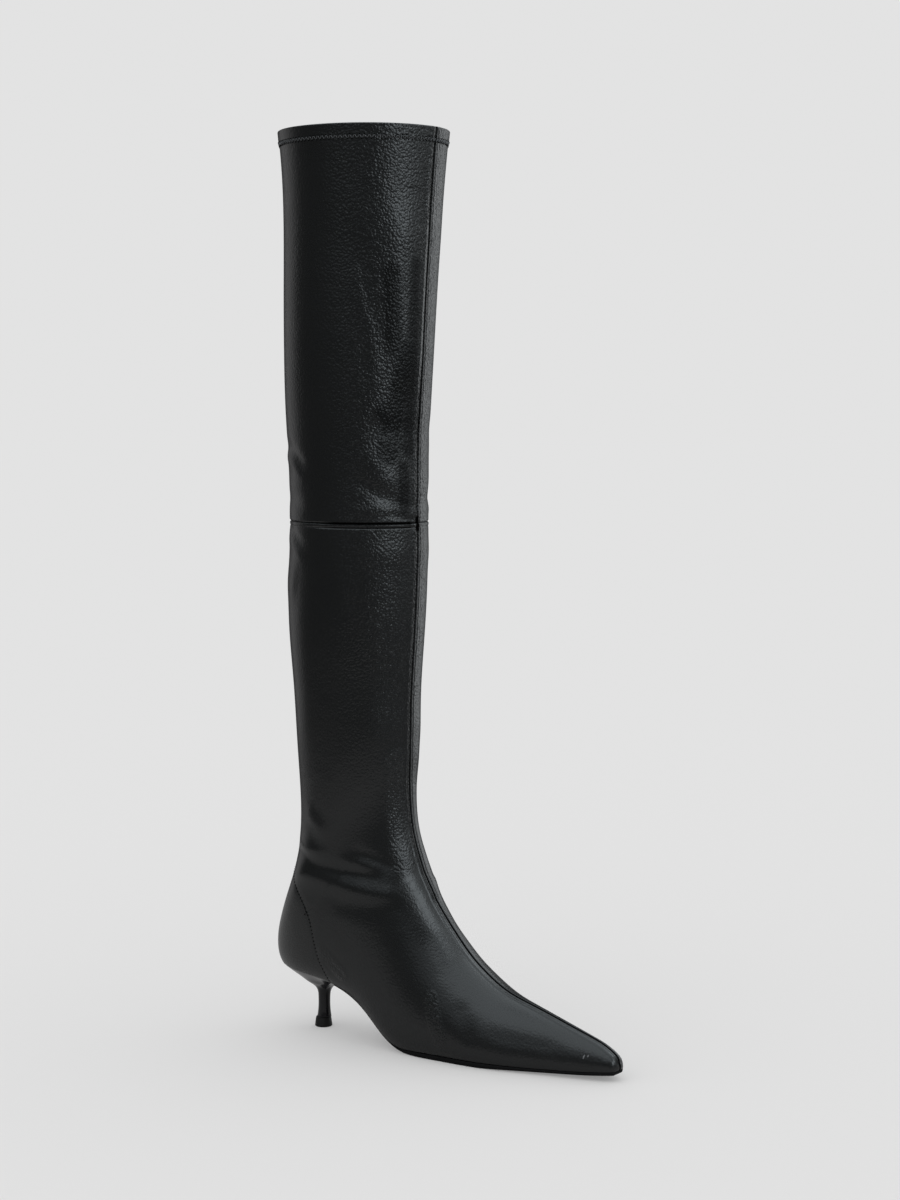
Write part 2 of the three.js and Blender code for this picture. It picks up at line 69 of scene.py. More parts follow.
# Stations of the foot, toe to heel, as shares of the sizes: ridge x and z, base x, sink, outer and inner half
# width, height of the widest place, and how square the crown and the base are.
FOOT_ROWS = (
    (1.0, 0.081, 1.001, -0.06, 0.1, 0.1, 0.5, 2.0, 2.0),
    (0.997, 0.099, 0.998, 0.3, 0.165, 0.165, 0.45, 2.1, 2.2),
    (0.986, 0.12, 0.988, 0.42, 0.22, 0.22, 0.42, 2.0, 2.4),
    (0.956, 0.153, 0.959, 0.58, 0.29, 0.296, 0.38, 1.9, 2.5),
    (0.911, 0.184, 0.916, 0.73, 0.384, 0.395, 0.36, 1.8, 2.5),
    (0.842, 0.226, 0.85, 0.87, 0.515, 0.548, 0.34, 1.8, 2.5),
    (0.772, 0.268, 0.783, 0.94, 0.668, 0.718, 0.32, 1.8, 2.5),
    (0.708, 0.305, 0.719, 1.0, 0.811, 0.877, 0.31, 1.8, 2.5),
    (0.658, 0.349, 0.658, 1.0, 0.904, 0.97, 0.31, 1.8, 2.5),
    (0.613, 0.407, 0.598, 1.0, 0.959, 1.019, 0.31, 1.8, 2.5),
    (0.575, 0.469, 0.537, 1.0, 0.975, 1.03, 0.31, 1.8, 2.7),
    (0.54, 0.541, 0.473, 0.94, 0.966, 1.0, 0.32, 1.85, 3.2),
    (0.509, 0.611, 0.409, 0.87, 0.94, 0.96, 0.34, 1.9, 3.6),
    (0.478, 0.689, 0.345, 1.0, 0.91, 0.935, 0.38, 2.0, 3.2),
    (0.452, 0.766, 0.281, 0.92, 0.91, 0.937, 0.42, 2.05, 2.8),
    (0.434, 0.843, 0.214, 0.85, 0.926, 0.948, 0.44, 2.1, 2.9),
    (0.418, 0.926, 0.139, 0.96, 0.942, 0.953, 0.46, 2.1, 3.0),
    (0.406, 1.0, 0.066, 0.88, 0.948, 0.953, 0.48, 2.1, 2.7),
    (0.399, 1.068, 0.016, 0.08, 0.948, 0.948, 0.5, 2.1, 2.3),
)
# Stations of the ankle: front x and z, back x and z, half width, crown, base.
ANKLE_ROWS = (
    (0.395, 1.135, 0.001, 0.385, 0.967, 2.1, 2.05),
    (0.393, 1.196, 0.007, 0.473, 0.978, 2.1, 1.95),
    (0.392, 1.257, 0.026, 0.581, 0.994, 2.1, 1.9),
    (0.393, 1.318, 0.051, 0.696, 1.011, 2.1, 1.9),
    (0.394, 1.378, 0.071, 0.824, 1.033, 2.1, 1.9),
    (0.394, 1.439, 0.082, 0.98, 1.061, 2.1, 1.9),
    (0.395, 1.514, 0.083, 1.162, 1.089, 2.1, 1.95),
)
# Stations of the leg: front rise, back rise, front, back, half width, crown.
LEG_ROWS = (
    (0.114, 0.188, 0.444, -0.45, 0.898, 2.05),
    (0.271, 0.406, 0.456, -0.476, 0.938, 2.0),
    (0.514, 0.625, 0.478, -0.508, 0.996, 2.0),
    (0.757, 0.823, 0.494, -0.503, 1.004, 2.0),
    (1.0, 1.0, 0.5, -0.5, 1.0, 2.0),
)
# Stations of the thigh: rise, axis, depth, width.
THIGH_ROWS = (
    (0.134, -0.09, 0.0, 0.058),
    (0.284, -0.21, 0.19, 0.202),
    (0.433, -0.03, 0.33, 0.365),
    (0.582, 0.26, 0.434, 0.462),
    (0.731, 0.66, 0.557, 0.538),
    (0.881, 0.97, 0.745, 0.721),
    (1.0, 1.0, 1.0, 1.0),
    (1.06, 1.0, 1.14, 1.18),
)
LEG_AXIS = 0.237
THIGH_AXIS = 0.251
# Underside of the sole: place, climb, spring, body.
SOLE_ROWS = (
    (-0.02, 1.033, 0.0, 0.0),
    (0.053, 1.023, 0.0, 0.0),
    (0.125, 1.0, 0.0, 0.0),
    (0.171, 0.958, 0.0, 0.0),
    (0.214, 0.888, 0.0, 0.0),
    (0.253, 0.785, 0.0, 0.0),
    (0.285, 0.677, 0.0, 0.0),
    (0.317, 0.548, 0.0, 0.0),
    (0.345, 0.403, 0.0, 0.02),
    (0.374, 0.252, 0.0, 0.05),
    (0.402, 0.131, 0.0, 0.16),
    (0.431, 0.052, 0.0, 0.4),
    (0.459, 0.013, 0.0, 0.67),
    (0.495, 0.0, 0.0, 0.88),
    (0.534, 0.0, 0.0, 0.97),
    (0.587, 0.0, 0.0, 1.0),
    (0.658, 0.0, 0.0, 1.0),
    (0.722, 0.0, 0.174, 0.72),
    (0.786, 0.0, 0.304, 0.5),
    (0.854, 0.0, 0.435, 0.42),
    (0.925, 0.0, 0.63, 0.4),
    (0.979, 0.0, 0.87, 0.4),
    (1.01, 0.0, 1.05, 0.4),
)
# Front edge of the counter, sole to back seam, as shares of foot length and ankle height.
COUNTER_EDGE = (
    (0.218, 0.2),
    (0.211, 0.302),
    (0.202, 0.36),
    (0.192, 0.432),
    (0.184, 0.51),
    (0.173, 0.59),
    (0.15, 0.67),
    (0.114, 0.75),
    (0.078, 0.815),
    (0.03, 0.885),
)
# The heel's flare: height, spread, girth.
FLARE_ROWS = (
    (0.0, 0.0, 1.2),
    (0.12, 0.0, 1.06),
    (0.25, 0.0, 1.0),
    (0.4, 0.0, 1.02),
    (0.5, 0.015, 1.08),
    (0.57, 0.06, 1.2),
    (0.63, 0.16, 1.3),
    (0.69, 0.3, 1.4),
    (0.76, 0.44, 1.5),
    (0.84, 0.62, 1.6),
    (0.92, 0.81, 1.8),
    (0.97, 0.93, 1.9),
    (1.0, 0.985, 2.0),
)
ANKLE_AT = len(FOOT_ROWS)
KNEE_AT = ANKLE_AT + len(ANKLE_ROWS) + len(LEG_ROWS) - 1
COLLAR_AT = KNEE_AT + len(THIGH_ROWS) - 1
# How far the last reaches under the top of the sole
SINK = 8.5 * MM
# Clearance between two pieces that meet
GAP = 0.3 * MM
# Spacing round the skin: share of even steps, and power of the others, which are closer near the ridge
RIDGE_STEPS = (0.2, 1.7)
LINING_STEPS = (0.9, 1.5)


def length(name, description, default):
    """A length that the panel shows in the scene's units."""
    return bpy.props.FloatProperty(
        name=name,
        description=description,
        default=default,
        unit="LENGTH",
        subtype="DISTANCE",
        min=0.0,
        precision=4,
    )


def colour(name, description, default):
    """A colour that the panel shows as a swatch."""
    return bpy.props.FloatVectorProperty(
        name=name, description=description, default=default, subtype="COLOR", size=4, min=0.0, max=1.0
    )


class BootSizes(bpy.types.PropertyGroup):
    """The boot's own sizes."""

    foot_length: length("Foot length", "Back of the heel to the tip of the toe", 281 * MM)
    heel_overhang: length("Heel overhang", "Back of the heel behind the tip's axis", 35 * MM)
    seat_height: length("Seat height", "Top of the sole over the heel tip", 44 * MM)
    toe_spring: length("Toe spring", "Underside of the toe above the floor", 4.6 * MM)
    ankle_height: length("Ankle height", "Where the instep turns into the shin", 148 * MM)
    knee_height: length("Knee height", "Seam between the leg and the thigh", 364 * MM)
    boot_height: length("Boot height", "Collar edge above the floor", 632 * MM)
    ball_width: length("Ball width", "Width of the foot at the ball", 73 * MM)
    ankle_width: length("Ankle width", "Width of the ankle", 72 * MM)
    leg_depth: length("Leg depth", "Front to back at the knee seam", 100.6 * MM)
    leg_width: length("Leg width", "Side to side at the knee seam", 90 * MM)
    thigh_depth: length("Thigh depth", "Front to back at the collar", 121.8 * MM)
    thigh_width: length("Thigh width", "Side to side at the collar", 110.8 * MM)
    upper_wall: length("Upper wall", "Leather of the leg and foot with its lining", 1.8 * MM)
    thigh_wall: length("Thigh wall", "Leather of the thigh with its lining", 1.5 * MM)
    hem_depth: length("Hem depth", "Height of the folded hem at the collar", 9 * MM)
    hem_thickness: length("Hem thickness", "How far the hem stands out of the shaft", 0.5 * MM)
    ball_sole: length("Ball sole", "Thickness of the outsole at the ball", 4 * MM)
    waist_sole: length("Waist sole", "Thickness of the outsole under the arch", 1.3 * MM)
    sole_bevel: length("Sole bevel", "How much narrower the floor side is on each side", 1.4 * MM)
    insole_thickness: length("Insole thickness", "Board that the foot stands on", 1.6 * MM)
    breast_x: length("Heel breast", "Front of the heel under the sole", 27 * MM)
    stem_radius: length("Stem radius", "Slimmest radius of the heel", 4.2 * MM)
    stem_x: length("Stem offset", "Axis of the stem in front of the tip's axis", 0.7 * MM)
    tip_radius: length("Tip radius", "Heel tip at the floor", 6.2 * MM)
    tip_top_radius: length("Tip top radius", "Heel tip under the stem", 5.2 * MM)
    tip_height: length("Tip height", "Height of the heel tip", 7 * MM)


class BootColours(bpy.types.PropertyGroup):
    """The boot's colours and the studio's."""

    leather: colour("Leather", "Black stretch leather", (0.0038, 0.0043, 0.0045, 1.0))
    scuff: colour("Marks", "Pale scuffs near the toe", (0.09, 0.09, 0.095, 1.0))
    # The same dark also lays the seams' dark lines and the painted shade in the thigh's hollows and the knee
    # pucker
    hole: colour("Needle holes", "Dark of the needle holes", (0.001, 0.001, 0.001, 1.0))
    thread: colour("Thread", "Seam and hem thread", (0.045, 0.047, 0.05, 1.0))
    sole: colour("Sole", "Inked sole edge", (0.006, 0.006, 0.0065, 1.0))
    lining: colour("Lining", "Inside of the boot", (0.022, 0.02, 0.018, 1.0))
    lacquer: colour("Lacquer", "Glossy heel", (0.005, 0.005, 0.006, 1.0))
    tip: colour("Tip", "Heel tip", (0.009, 0.009, 0.009, 1.0))
    floor: colour("Floor", "Pale studio floor", (0.8, 0.8, 0.8, 1.0))
    air: colour("Air", "Pale background and soft light all round", (0.767, 0.767, 0.767, 1.0))


# The last


class Curve:
    """Natural cubic spline through evenly numbered values."""

    def __init__(self, values):
        count = len(values)
        self.values = np.array(values, float)
        system = np.eye(count)
        turns = np.zeros(count)
        for i in range(1, count - 1):
            system[i, i - 1 : i + 2] = (1, 4, 1)
            turns[i] = 6 * (values[i + 1] - 2 * values[i] + values[i - 1])
        self.bends = np.linalg.solve(system, turns)

    def __call__(self, t):
        i = np.clip(np.floor(t).astype(int), 0, len(self.values) - 2)
        f = t - i
        g = 1 - f
        line = g * self.values[i] + f * self.values[i + 1]
        return line + ((g**3 - g) * self.bends[i] + (f**3 - f) * self.bends[i + 1]) / 6


def lerp(a, b, share):
    return a + (b - a) * share


def smooth(low, high, value):
    """0 under low, 1 over high, and a soft S between."""
    share = np.clip((value - low) / (high - low), 0, 1)
    return share * share * (3 - 2 * share)


def powered(value, exponent):
    return np.sign(value) * np.abs(value) ** exponent


def bead(value, middle, half_width):
    """1 in the middle, fading softly to both sides."""
    return np.exp(-(((value - middle) / half_width) ** 2))


def run_along(points):
    """Length of the way along the points, up to each of them."""
    return np.concatenate([[0], np.cumsum(np.linalg.norm(np.diff(points, axis=0), axis=1))])


class Last:
    """The form that the leather is drawn over: stations along the boot and a skin through them."""

    SAMPLES = 900
    FINE_SAMPLES = 2000
    CUT_HALVINGS = 44
    # Steps along and round the skin that a normal is taken over
    STATION_STEP = 0.03
    ANGLE_STEP = 0.02
    # Angle of the line that rows are spaced along
    SPACING_ANGLE = 0.8
    # Sections of the leg: widest half way, and round
    HALFWAY = 0.5
    ROUND = 2.0

    def __init__(self, sizes):
        self.sizes = sizes
        t = np.linspace(0, len(SOLE_ROWS) - 1, self.SAMPLES)
        place, climb, spring, body = (Curve([row[k] for row in SOLE_ROWS])(t) for k in range(4))
        under = np.maximum(0, climb * (sizes.seat_height - sizes.waist_sole) + spring * sizes.toe_spring)
        thick = lerp(sizes.waist_sole, sizes.ball_sole, np.clip(body, 0, 1))
        self.sole_x = self.foot_x(place)
        self.sole_low = under
        self.sole_high = under + thick
        rows = [self.foot(row) for row in FOOT_ROWS]
        rows += [self.ankle(row) for row in ANKLE_ROWS]
        rows += [self.leg(row) for row in LEG_ROWS]
        rows += [self.thigh(row) for row in THIGH_ROWS]
        self.columns = [Curve(values) for values in zip(*rows)]

    def foot_x(self, share):
        return share * self.sizes.foot_length - self.sizes.heel_overhang

    def under(self, x):
        return np.interp(x, self.sole_x, self.sole_low)

    def top(self, x):
        return np.interp(x, self.sole_x, self.sole_high)

    def foot(self, row):
        ridge_x, ridge_z, base_x, sink, outer, inner, *shape = row
        x = self.foot_x(base_x)
        ridge = (self.foot_x(ridge_x), ridge_z * self.sizes.ankle_height)
        half = self.sizes.ball_width / 2
        return (*ridge, x, float(self.top(x)) - sink * SINK, outer * half, inner * half, *shape)

    def ankle(self, row):
        front_x, front_z, back_x, back_z, half, crown, base = row
        high = self.sizes.ankle_height
        front, back = (self.foot_x(front_x), front_z * high), (self.foot_x(back_x), back_z * high)
        y = half * self.sizes.ankle_width / 2
        return (*front, *back, y, y, self.HALFWAY, crown, base)

    def leg(self, row):
        front_rise, back_rise, front, back, half, crown = row
        foot_front, foot_back = (ANKLE_ROWS[-1][k] * self.sizes.ankle_height for k in (1, 3))
        axis, deep = self.foot_x(LEG_AXIS), self.sizes.leg_depth
        front = (axis + front * deep, lerp(foot_front, self.sizes.knee_height, front_rise))
        back = (axis + back * deep, lerp(foot_back, self.sizes.knee_height, back_rise))
        y = half * self.sizes.leg_width / 2
        return (*front, *back, y, y, self.HALFWAY, crown, self.ROUND)

    def thigh(self, row):
        rise, axis_share, depth_share, width_share = row
        z = lerp(self.sizes.knee_height, self.sizes.boot_height, rise)
        axis = self.foot_x(lerp(LEG_AXIS, THIGH_AXIS, axis_share))
        reach = lerp(self.sizes.leg_depth, self.sizes.thigh_depth, depth_share) / 2
        y = lerp(self.sizes.leg_width, self.sizes.thigh_width, width_share) / 2
        return (axis + reach, z, axis - reach, z, y, y, self.HALFWAY, self.ROUND, self.ROUND)

    def skin(self, t, angle):
        """Points of the skin: angle 0 on the outer side, a quarter turn at the ridge."""
        front_x, front_z, back_x, back_z, outer, inner, widest, crown, base = (c(t) for c in self.columns)
        cosine, sine = np.cos(angle), np.sin(angle)
        curve = 2 / np.where(sine >= 0, crown, base)
        side = np.where(cosine >= 0, -outer, -inner)
        up = widest + np.where(sine >= 0, 1 - widest, widest) * powered(sine, curve)
        x, z = lerp(back_x, front_x, up), lerp(back_z, front_z, up)
        return np.stack([x, side * powered(cosine, curve), z], -1)

    def normal(self, t, angle):
        """Unit normals of the skin, outwards."""
        step, turn = self.STATION_STEP, self.ANGLE_STEP
        along = self.skin(t + step, angle) - self.skin(np.maximum(t - step, 0), angle)
        around = self.skin(t, angle + turn) - self.skin(t, angle - turn)
        out = -np.cross(along, around)
        return out / np.maximum(np.linalg.norm(out, axis=-1, keepdims=True), 1e-12)

    def raised(self, t, angle, height):
        """Points that stand out of the skin by height."""
        return self.skin(t, angle) + self.normal(t, angle) * np.reshape(height, (-1, 1))

    def core(self, t):
        """Middle of each section, between the ridge and the base."""
        return (self.skin(t, QUARTER) + self.skin(t, -QUARTER)) / 2

    def thigh_at(self, z):
        """Station numbers of the thigh at the heights z."""
        t = np.linspace(KNEE_AT - 0.5, COLLAR_AT + 0.9, self.FINE_SAMPLES)
        return np.interp(z, self.columns[1](t), t)

    def cut(self, t, lift=GAP):
        """Angle under the outer side where the skin meets the sole, or the back seam."""
        high, low = np.zeros_like(t), np.full_like(t, -QUARTER)
        for _ in range(self.CUT_HALVINGS):
            middle = (high + low) / 2
            point = self.skin(t, middle)
            over = point[..., 2] > self.top(point[..., 0]) + lift
            high, low = np.where(over, middle, high), np.where(over, low, middle)
        return low

    def edge(self):
        """The outline at the sole's top: x, outer half width, inner half width, heel to toe."""
        t = np.linspace(ANKLE_AT + 1, 0, self.SAMPLES)
        angle = self.cut(t, 0.0)
        outer, inner = self.skin(t, angle), self.skin(t, HALF_TURN - angle)
        on_sole = angle > -QUARTER + 1e-6
        return outer[on_sole, 0], -outer[on_sole, 1], inner[on_sole, 1]

    def rows(self, first, last, spacing):
        """Station numbers evenly spaced along the middle of the outer side."""
        t = np.linspace(first, last, self.FINE_SAMPLES)
        run = run_along(self.skin(t, self.SPACING_ANGLE))
        count = max(2, int(round(run[-1] / spacing)))
        return np.interp(np.linspace(0, run[-1], count + 1), run, t)


# Meshes


def new_object(name, bm, material):
    """A mesh object at the origin from a bmesh, smooth shaded."""
    mesh = bpy.data.meshes.new(name)
    bm.to_mesh(mesh)
    bm.free()
    mesh.shade_smooth()
    mesh.materials.append(material)
    made = bpy.data.objects.new(name, mesh)
    bpy.context.scene.collection.objects.link(made)
    return made


def new_piece(name, bm, material, node=None):
    """A piece that rides with the boot, its faces outwards. It stands for its node if it has one."""
    bmesh.ops.recalc_face_normals(bm, faces=bm.faces[:])
    piece = new_object(name, bm, material)
    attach(piece, "root")
    if node:
        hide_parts(node)
    return piece


def bent_grid(bm, across, along, place):
    """Adds a grid with its points at place(u, v), u and v from 0 to 1. The UV map keeps u and v."""
    layer = bm.loops.layers.uv.verify()
    made = bmesh.ops.create_grid(bm, x_segments=across, y_segments=along, size=0.5)["verts"]
    u = np.array([v.co.x + 0.5 for v in made])
    v = np.array([v.co.y + 0.5 for v in made])
    index = {vert: i for i, vert in enumerate(made)}
    for face in {face for vert in made for face in vert.link_faces}:
        for loop in face.loops:
            i = index[loop.vert]
            loop[layer].uv = (u[i], v[i])
    for vert, point in zip(made, place(u, v)):
        vert.co = Vector(point.tolist())


def weld(bm, distance=0.01 * MM):
    """Joins points that meet."""
    bmesh.ops.remove_doubles(bm, verts=bm.verts[:], dist=distance)


def rims(bm):
    """The open rims, each as its edges."""
    left = {edge for edge in bm.edges if edge.is_boundary}
    found = []
    while left:
        ring, front = set(), [next(iter(left))]
        while front:
            edge = front.pop()
            if edge not in left:
                continue
            left.discard(edge)
            ring.add(edge)
            front += [near for vert in edge.verts for near in vert.link_edges if near in left]
        found.append(list(ring))
    return found


def eased(way, even, power):
    """The way from 0 to 1 with closer steps at its start."""
    return even * way + (1 - even) * way**power


def ridge_angle(cut, u, even, power):
    """Angle round the skin for u from 0 to 1, with closer steps near the ridge."""
    way = 2 * u - 1
    return QUARTER + np.sign(way) * eased(np.abs(way), even, power) * (QUARTER - cut)


# Relief of the leather


def toward(points, path, width, fade):
    """Weight of a soft line through the side view: 1 on the path, 0 beyond its width, fading at both ends."""
    path = np.array(path, float) * MM
    run = run_along(path)
    best = np.full(len(points), np.inf)
    where = np.zeros(len(points))
    flat = points[:, (0, 2)]
    for i, (a, b) in enumerate(zip(path[:-1], path[1:])):
        step = run[i + 1] - run[i]
        share = np.clip(((flat - a) @ (b - a)) / step**2, 0, 1)
        gap = np.linalg.norm(flat - (a + share[:, None] * (b - a)), axis=1)
        nearer = gap < best
        best = np.where(nearer, gap, best)
        where = np.where(nearer, run[i] + share * step, where)
    ends = smooth(0, fade, np.minimum(where, run[-1] - where) / run[-1])
    return bead(best, 0, width * MM) * ends


# Creases on the outer side: path as x, z in millimetres, width, height (outwards is positive), share of the
# path that fades at each end, and the share that shows on the inner side.
CREASES = (
    # fold over the back above the knee
    (((-18, 417), (-3, 416), (6, 411), (15, 404), (22, 400)), 4.5, -1.1, 0.35, 0.6),
    (((-20, 408), (-6, 408.5), (5, 403), (14, 396), (24, 390)), 4.5, 0.9, 0.4, 0.6),
    (((-18, 381), (-5, 380), (6, 378), (20, 376)), 5.0, -0.9, 0.45, 0.6),
    # fold over the back under the knee seam
    (((-18, 362), (-4, 361), (3, 356), (12, 350), (20, 346)), 3.5, -0.8, 0.4, 0.5),
    (((-16, 352), (-2, 351), (6, 345), (15, 338), (22, 334)), 4.5, 0.7, 0.4, 0.5),
    (((-20, 322), (-2, 321), (10, 318)), 14.0, 0.9, 0.3, 0.7),
    # front of the knee
    (((60, 431), (74, 428), (88, 424)), 8.0, -0.9, 0.3, 0.5),
    (((58, 414), (66, 408), (73, 396), (80, 384)), 5.5, 0.9, 0.3, 0.3),
    (((50, 396), (60, 392), (70, 384), (78, 376), (90, 374)), 4.5, -1.0, 0.3, 0.7),
    (((52, 373), (66, 373.5), (82, 373.5)), 4.5, 0.7, 0.3, 0.6),
    (((56, 345), (70, 344), (86, 342)), 9.0, 0.7, 0.3, 0.6),
    # pucker where the seams cross
    (((74, 372), (78, 368.5), (84, 365)), 2.2, -0.9, 0.2, 0.5),
    # flat of the thigh and the edge where it turns
    (((62, 580), (63, 545), (66, 505), (68, 470), (66, 445)), 9.5, -1.3, 0.3, 0.3),
    (((85.5, 590), (86, 560), (85, 520), (84, 480), (82, 445)), 7.0, 1.9, 0.25, 0.2),
    (((56, 560), (59, 538), (63, 515), (68, 494), (70, 470), (69, 445)), 3.8, 0.8, 0.3, 0.2),
    (((38, 600), (42, 540), (40, 480), (34, 430)), 16.0, -0.7, 0.3, 0.5),
    # folds of the ankle
    (((6, 166), (14, 160), (24, 152), (34, 144)), 4.5, 0.7, 0.35, 0.5),
    (((-6, 141), (4, 138.5), (13, 135), (24, 133.2), (36, 132)), 3.4, 0.85, 0.3, 0.4),
    (((-12, 133), (2, 130.5), (12, 127.5), (26, 124), (44, 122), (62, 120.5), (78, 118.6)),
     4.9, -1.05, 0.25, 0.4),
    (((44, 140), (52, 137), (62, 132.7), (74, 128), (84, 122)), 4.2, -0.85, 0.3, 0.4),
    (((34, 131), (48, 129), (60, 126.5), (72, 123.5)), 3.4, 0.5, 0.3, 0.5),
    (((-10, 120), (6, 117), (24, 114.5), (44, 111), (63, 109), (80, 108.5), (95, 109)), 5.5, 1.2, 0.2, 0.5),
    (((84, 118), (92, 112), (101, 106)), 5.0, 0.8, 0.25, 1.0),
    (((28, 102), (46, 98), (62, 97), (80, 98)), 6.0, -0.4, 0.3, 0.6),
    # fine wrinkles at the counter's lower front
    (((24.5, 66), (31, 58), (38, 50)), 1.1, -0.22, 0.3, 0.8),
    (((25, 60), (33, 54), (43, 48)), 1.0, -0.2, 0.3, 0.8),
    (((26, 70), (33, 64), (37, 56)), 1.0, -0.16, 0.3, 0.8),
    (((34, 60), (38, 56), (42, 52)), 0.9, 0.16, 0.3, 0.8),
    # vamp
    (((118, 62), (121, 42), (122, 30), (126, 12)), 7.0, 0.5, 0.3, 0.6),
    (((136, 46), (141, 34), (147, 22), (151, 13)), 6.0, -0.7, 0.3, 0.6),
    (((152, 26), (180, 22), (215, 19)), 5.0, -0.4, 0.3, 0.8),
)


def relief(points):
    """How far the leather stands out of the last at each point."""
    out = np.zeros(len(points))
    outer = smooth(-2 * MM, 6 * MM, -points[:, 1])
    for path, width, height, fade, inner in CREASES:
        out += toward(points, path, width, fade) * height * MM * lerp(inner, 1.0, outer)
    return out


# Beads of the front seam in millimetres: distance from the ridge, half width, height on the leg, on the foot.
FRONT_BEADS = (
    (-1.7, 0.6, 0.14, 0.26),
    (1.2, 0.6, 0.42, 0.42),
    (-0.1, 0.5, -0.28, -0.28),
)
# How far the folded allowance beside the front seam lifts the leather
FRONT_ALLOWANCE = 0.42 * MM
# Beads under the knee seam in millimetres: distance, half width, height at the back, at the outer front.
KNEE_BEADS = (
    (3.0, 0.55, -0.2, -0.55),
    (1.2, 0.7, 0.16, 0.16),
)
# How far the edge at the knee seam is rounded off, at the back and at the outer front
KNEE_EDGE = (0.55 * MM, 1.05 * MM)


def front_seam(points, along):
    """The closed seam on the ridge: a low near lip, a higher far lip over the allowance and a fine groove."""
    y, beside = points[:, 1], np.abs(points[:, 1])
    allowance = smooth(5.6 * MM, 4 * MM, beside) * (1 - 0.6 * smooth(4 * MM, 1.5 * MM, beside))
    on_foot = smooth(170 * MM, 110 * MM, points[:, 2])
    out = FRONT_ALLOWANCE * allowance
    for middle, half_width, leg, foot in FRONT_BEADS:
        out += lerp(leg, foot, on_foot) * MM * bead(y, middle * MM, half_width * MM)
    return out * along * smooth(25 * MM, 35 * MM, points[:, 0])


def knee_welt(points, knee):
    """The lapped edge under the knee seam: a rounded rim, a low welt and a stitched groove below it."""
    below = knee - points[:, 2]
    front = smooth(10 * MM, 40 * MM, points[:, 0]) * smooth(0, -6 * MM, points[:, 1])
    out = -lerp(*KNEE_EDGE, front) * smooth(0.9 * MM, 0, below) ** 2
    for middle, half_width, back, outer_front in KNEE_BEADS:
        out += lerp(back, outer_front, front) * MM * bead(below, middle * MM, half_width * MM)
    return out


def hem_step(z, sizes):
    """How far the hem stands out at height z."""
    edge = sizes.boot_height - sizes.hem_depth
    return sizes.hem_thickness * smooth(edge - 0.7 * MM, edge + 0.7 * MM, z)


# Pieces


class PieceOperator:
    """What every operator here does: it makes its pieces from the scene's sizes and colours."""

    bl_options = {"REGISTER", "UNDO"}

    def execute(self, context):
        self.make(context, context.scene.boot_sizes, context.scene.boot_colours)
        return {"FINISHED"}


class BOOT_OT_upper(PieceOperator, bpy.types.Operator):
    """Leather of the foot and leg, from the toe to the knee seam"""

    bl_idname = "boot.upper"
    bl_label = "Upper"

    AROUND = 200
    SPACING = 1.75 * MM
    # Stations in front of the first one, which close the tip of the toe
    CLOSING = (-1, -0.75, -0.45, -0.2)
    TOE_DOME = 0.6 * MM
    FINE_FROM = KNEE_AT - 0.16
    FINE_ROWS = 22
    LINING_AROUND = 60
    LINING_ROWS = 90
    LINING_FROM = 1.5
    COUNTER_RECESS = 0.45 * MM

    def make(self, context, sizes, colours):
        last = Last(sizes)
        knee = sizes.knee_height - GAP / 2
        stations = np.concatenate([
            self.CLOSING,
            last.rows(0, self.FINE_FROM, self.SPACING),
            np.linspace(self.FINE_FROM, KNEE_AT, self.FINE_ROWS)[1:],
        ])
        numbers = np.linspace(0, 1, len(stations))
        counter = CounterOutline(last)

        def outside(u, v):
            t = np.interp(v, numbers, stations)
            closing = np.clip(-t, 0, 1)
            t = np.maximum(t, 0)
            angle = ridge_angle(last.cut(t), u, *RIDGE_STEPS)
            point = last.skin(t, angle)
            height = relief(point) + front_seam(point, smooth(0.3, 2, t)) + knee_welt(point, knee)
            height -= self.COUNTER_RECESS * counter.inside(t, u)
            point = last.raised(t, angle, height * (closing == 0))
            point = lerp(point, last.core(t), closing[:, None])
            point[:, 0] += self.TOE_DOME * np.sqrt(1 - (1 - closing) ** 2)
            point[:, 2] = np.minimum(point[:, 2], knee)
            return point

        def inside(u, v):
            t = lerp(self.LINING_FROM, KNEE_AT, v)
            point = last.raised(t, ridge_angle(last.cut(t), u, *LINING_STEPS), -sizes.upper_wall)
            point = np.where((v == 0)[:, None], last.core(t), point)
            point[:, 2] = np.clip(point[:, 2], last.top(point[:, 0]) + GAP, knee)
            return point

        bm = bmesh.new()
        bent_grid(bm, self.AROUND, len(stations) - 1, outside)
        bent_grid(bm, self.LINING_AROUND, self.LINING_ROWS, inside)
        weld(bm)
        rings = sorted(rims(bm), key=lambda ring: min(vert.co.z for edge in ring for vert in edge.verts))
        for outer, inner in (rings[:2], rings[2:]):
            bmesh.ops.bridge_loops(bm, edges=outer + inner)
        new_piece("Upper", bm, leather(colours), "upper")


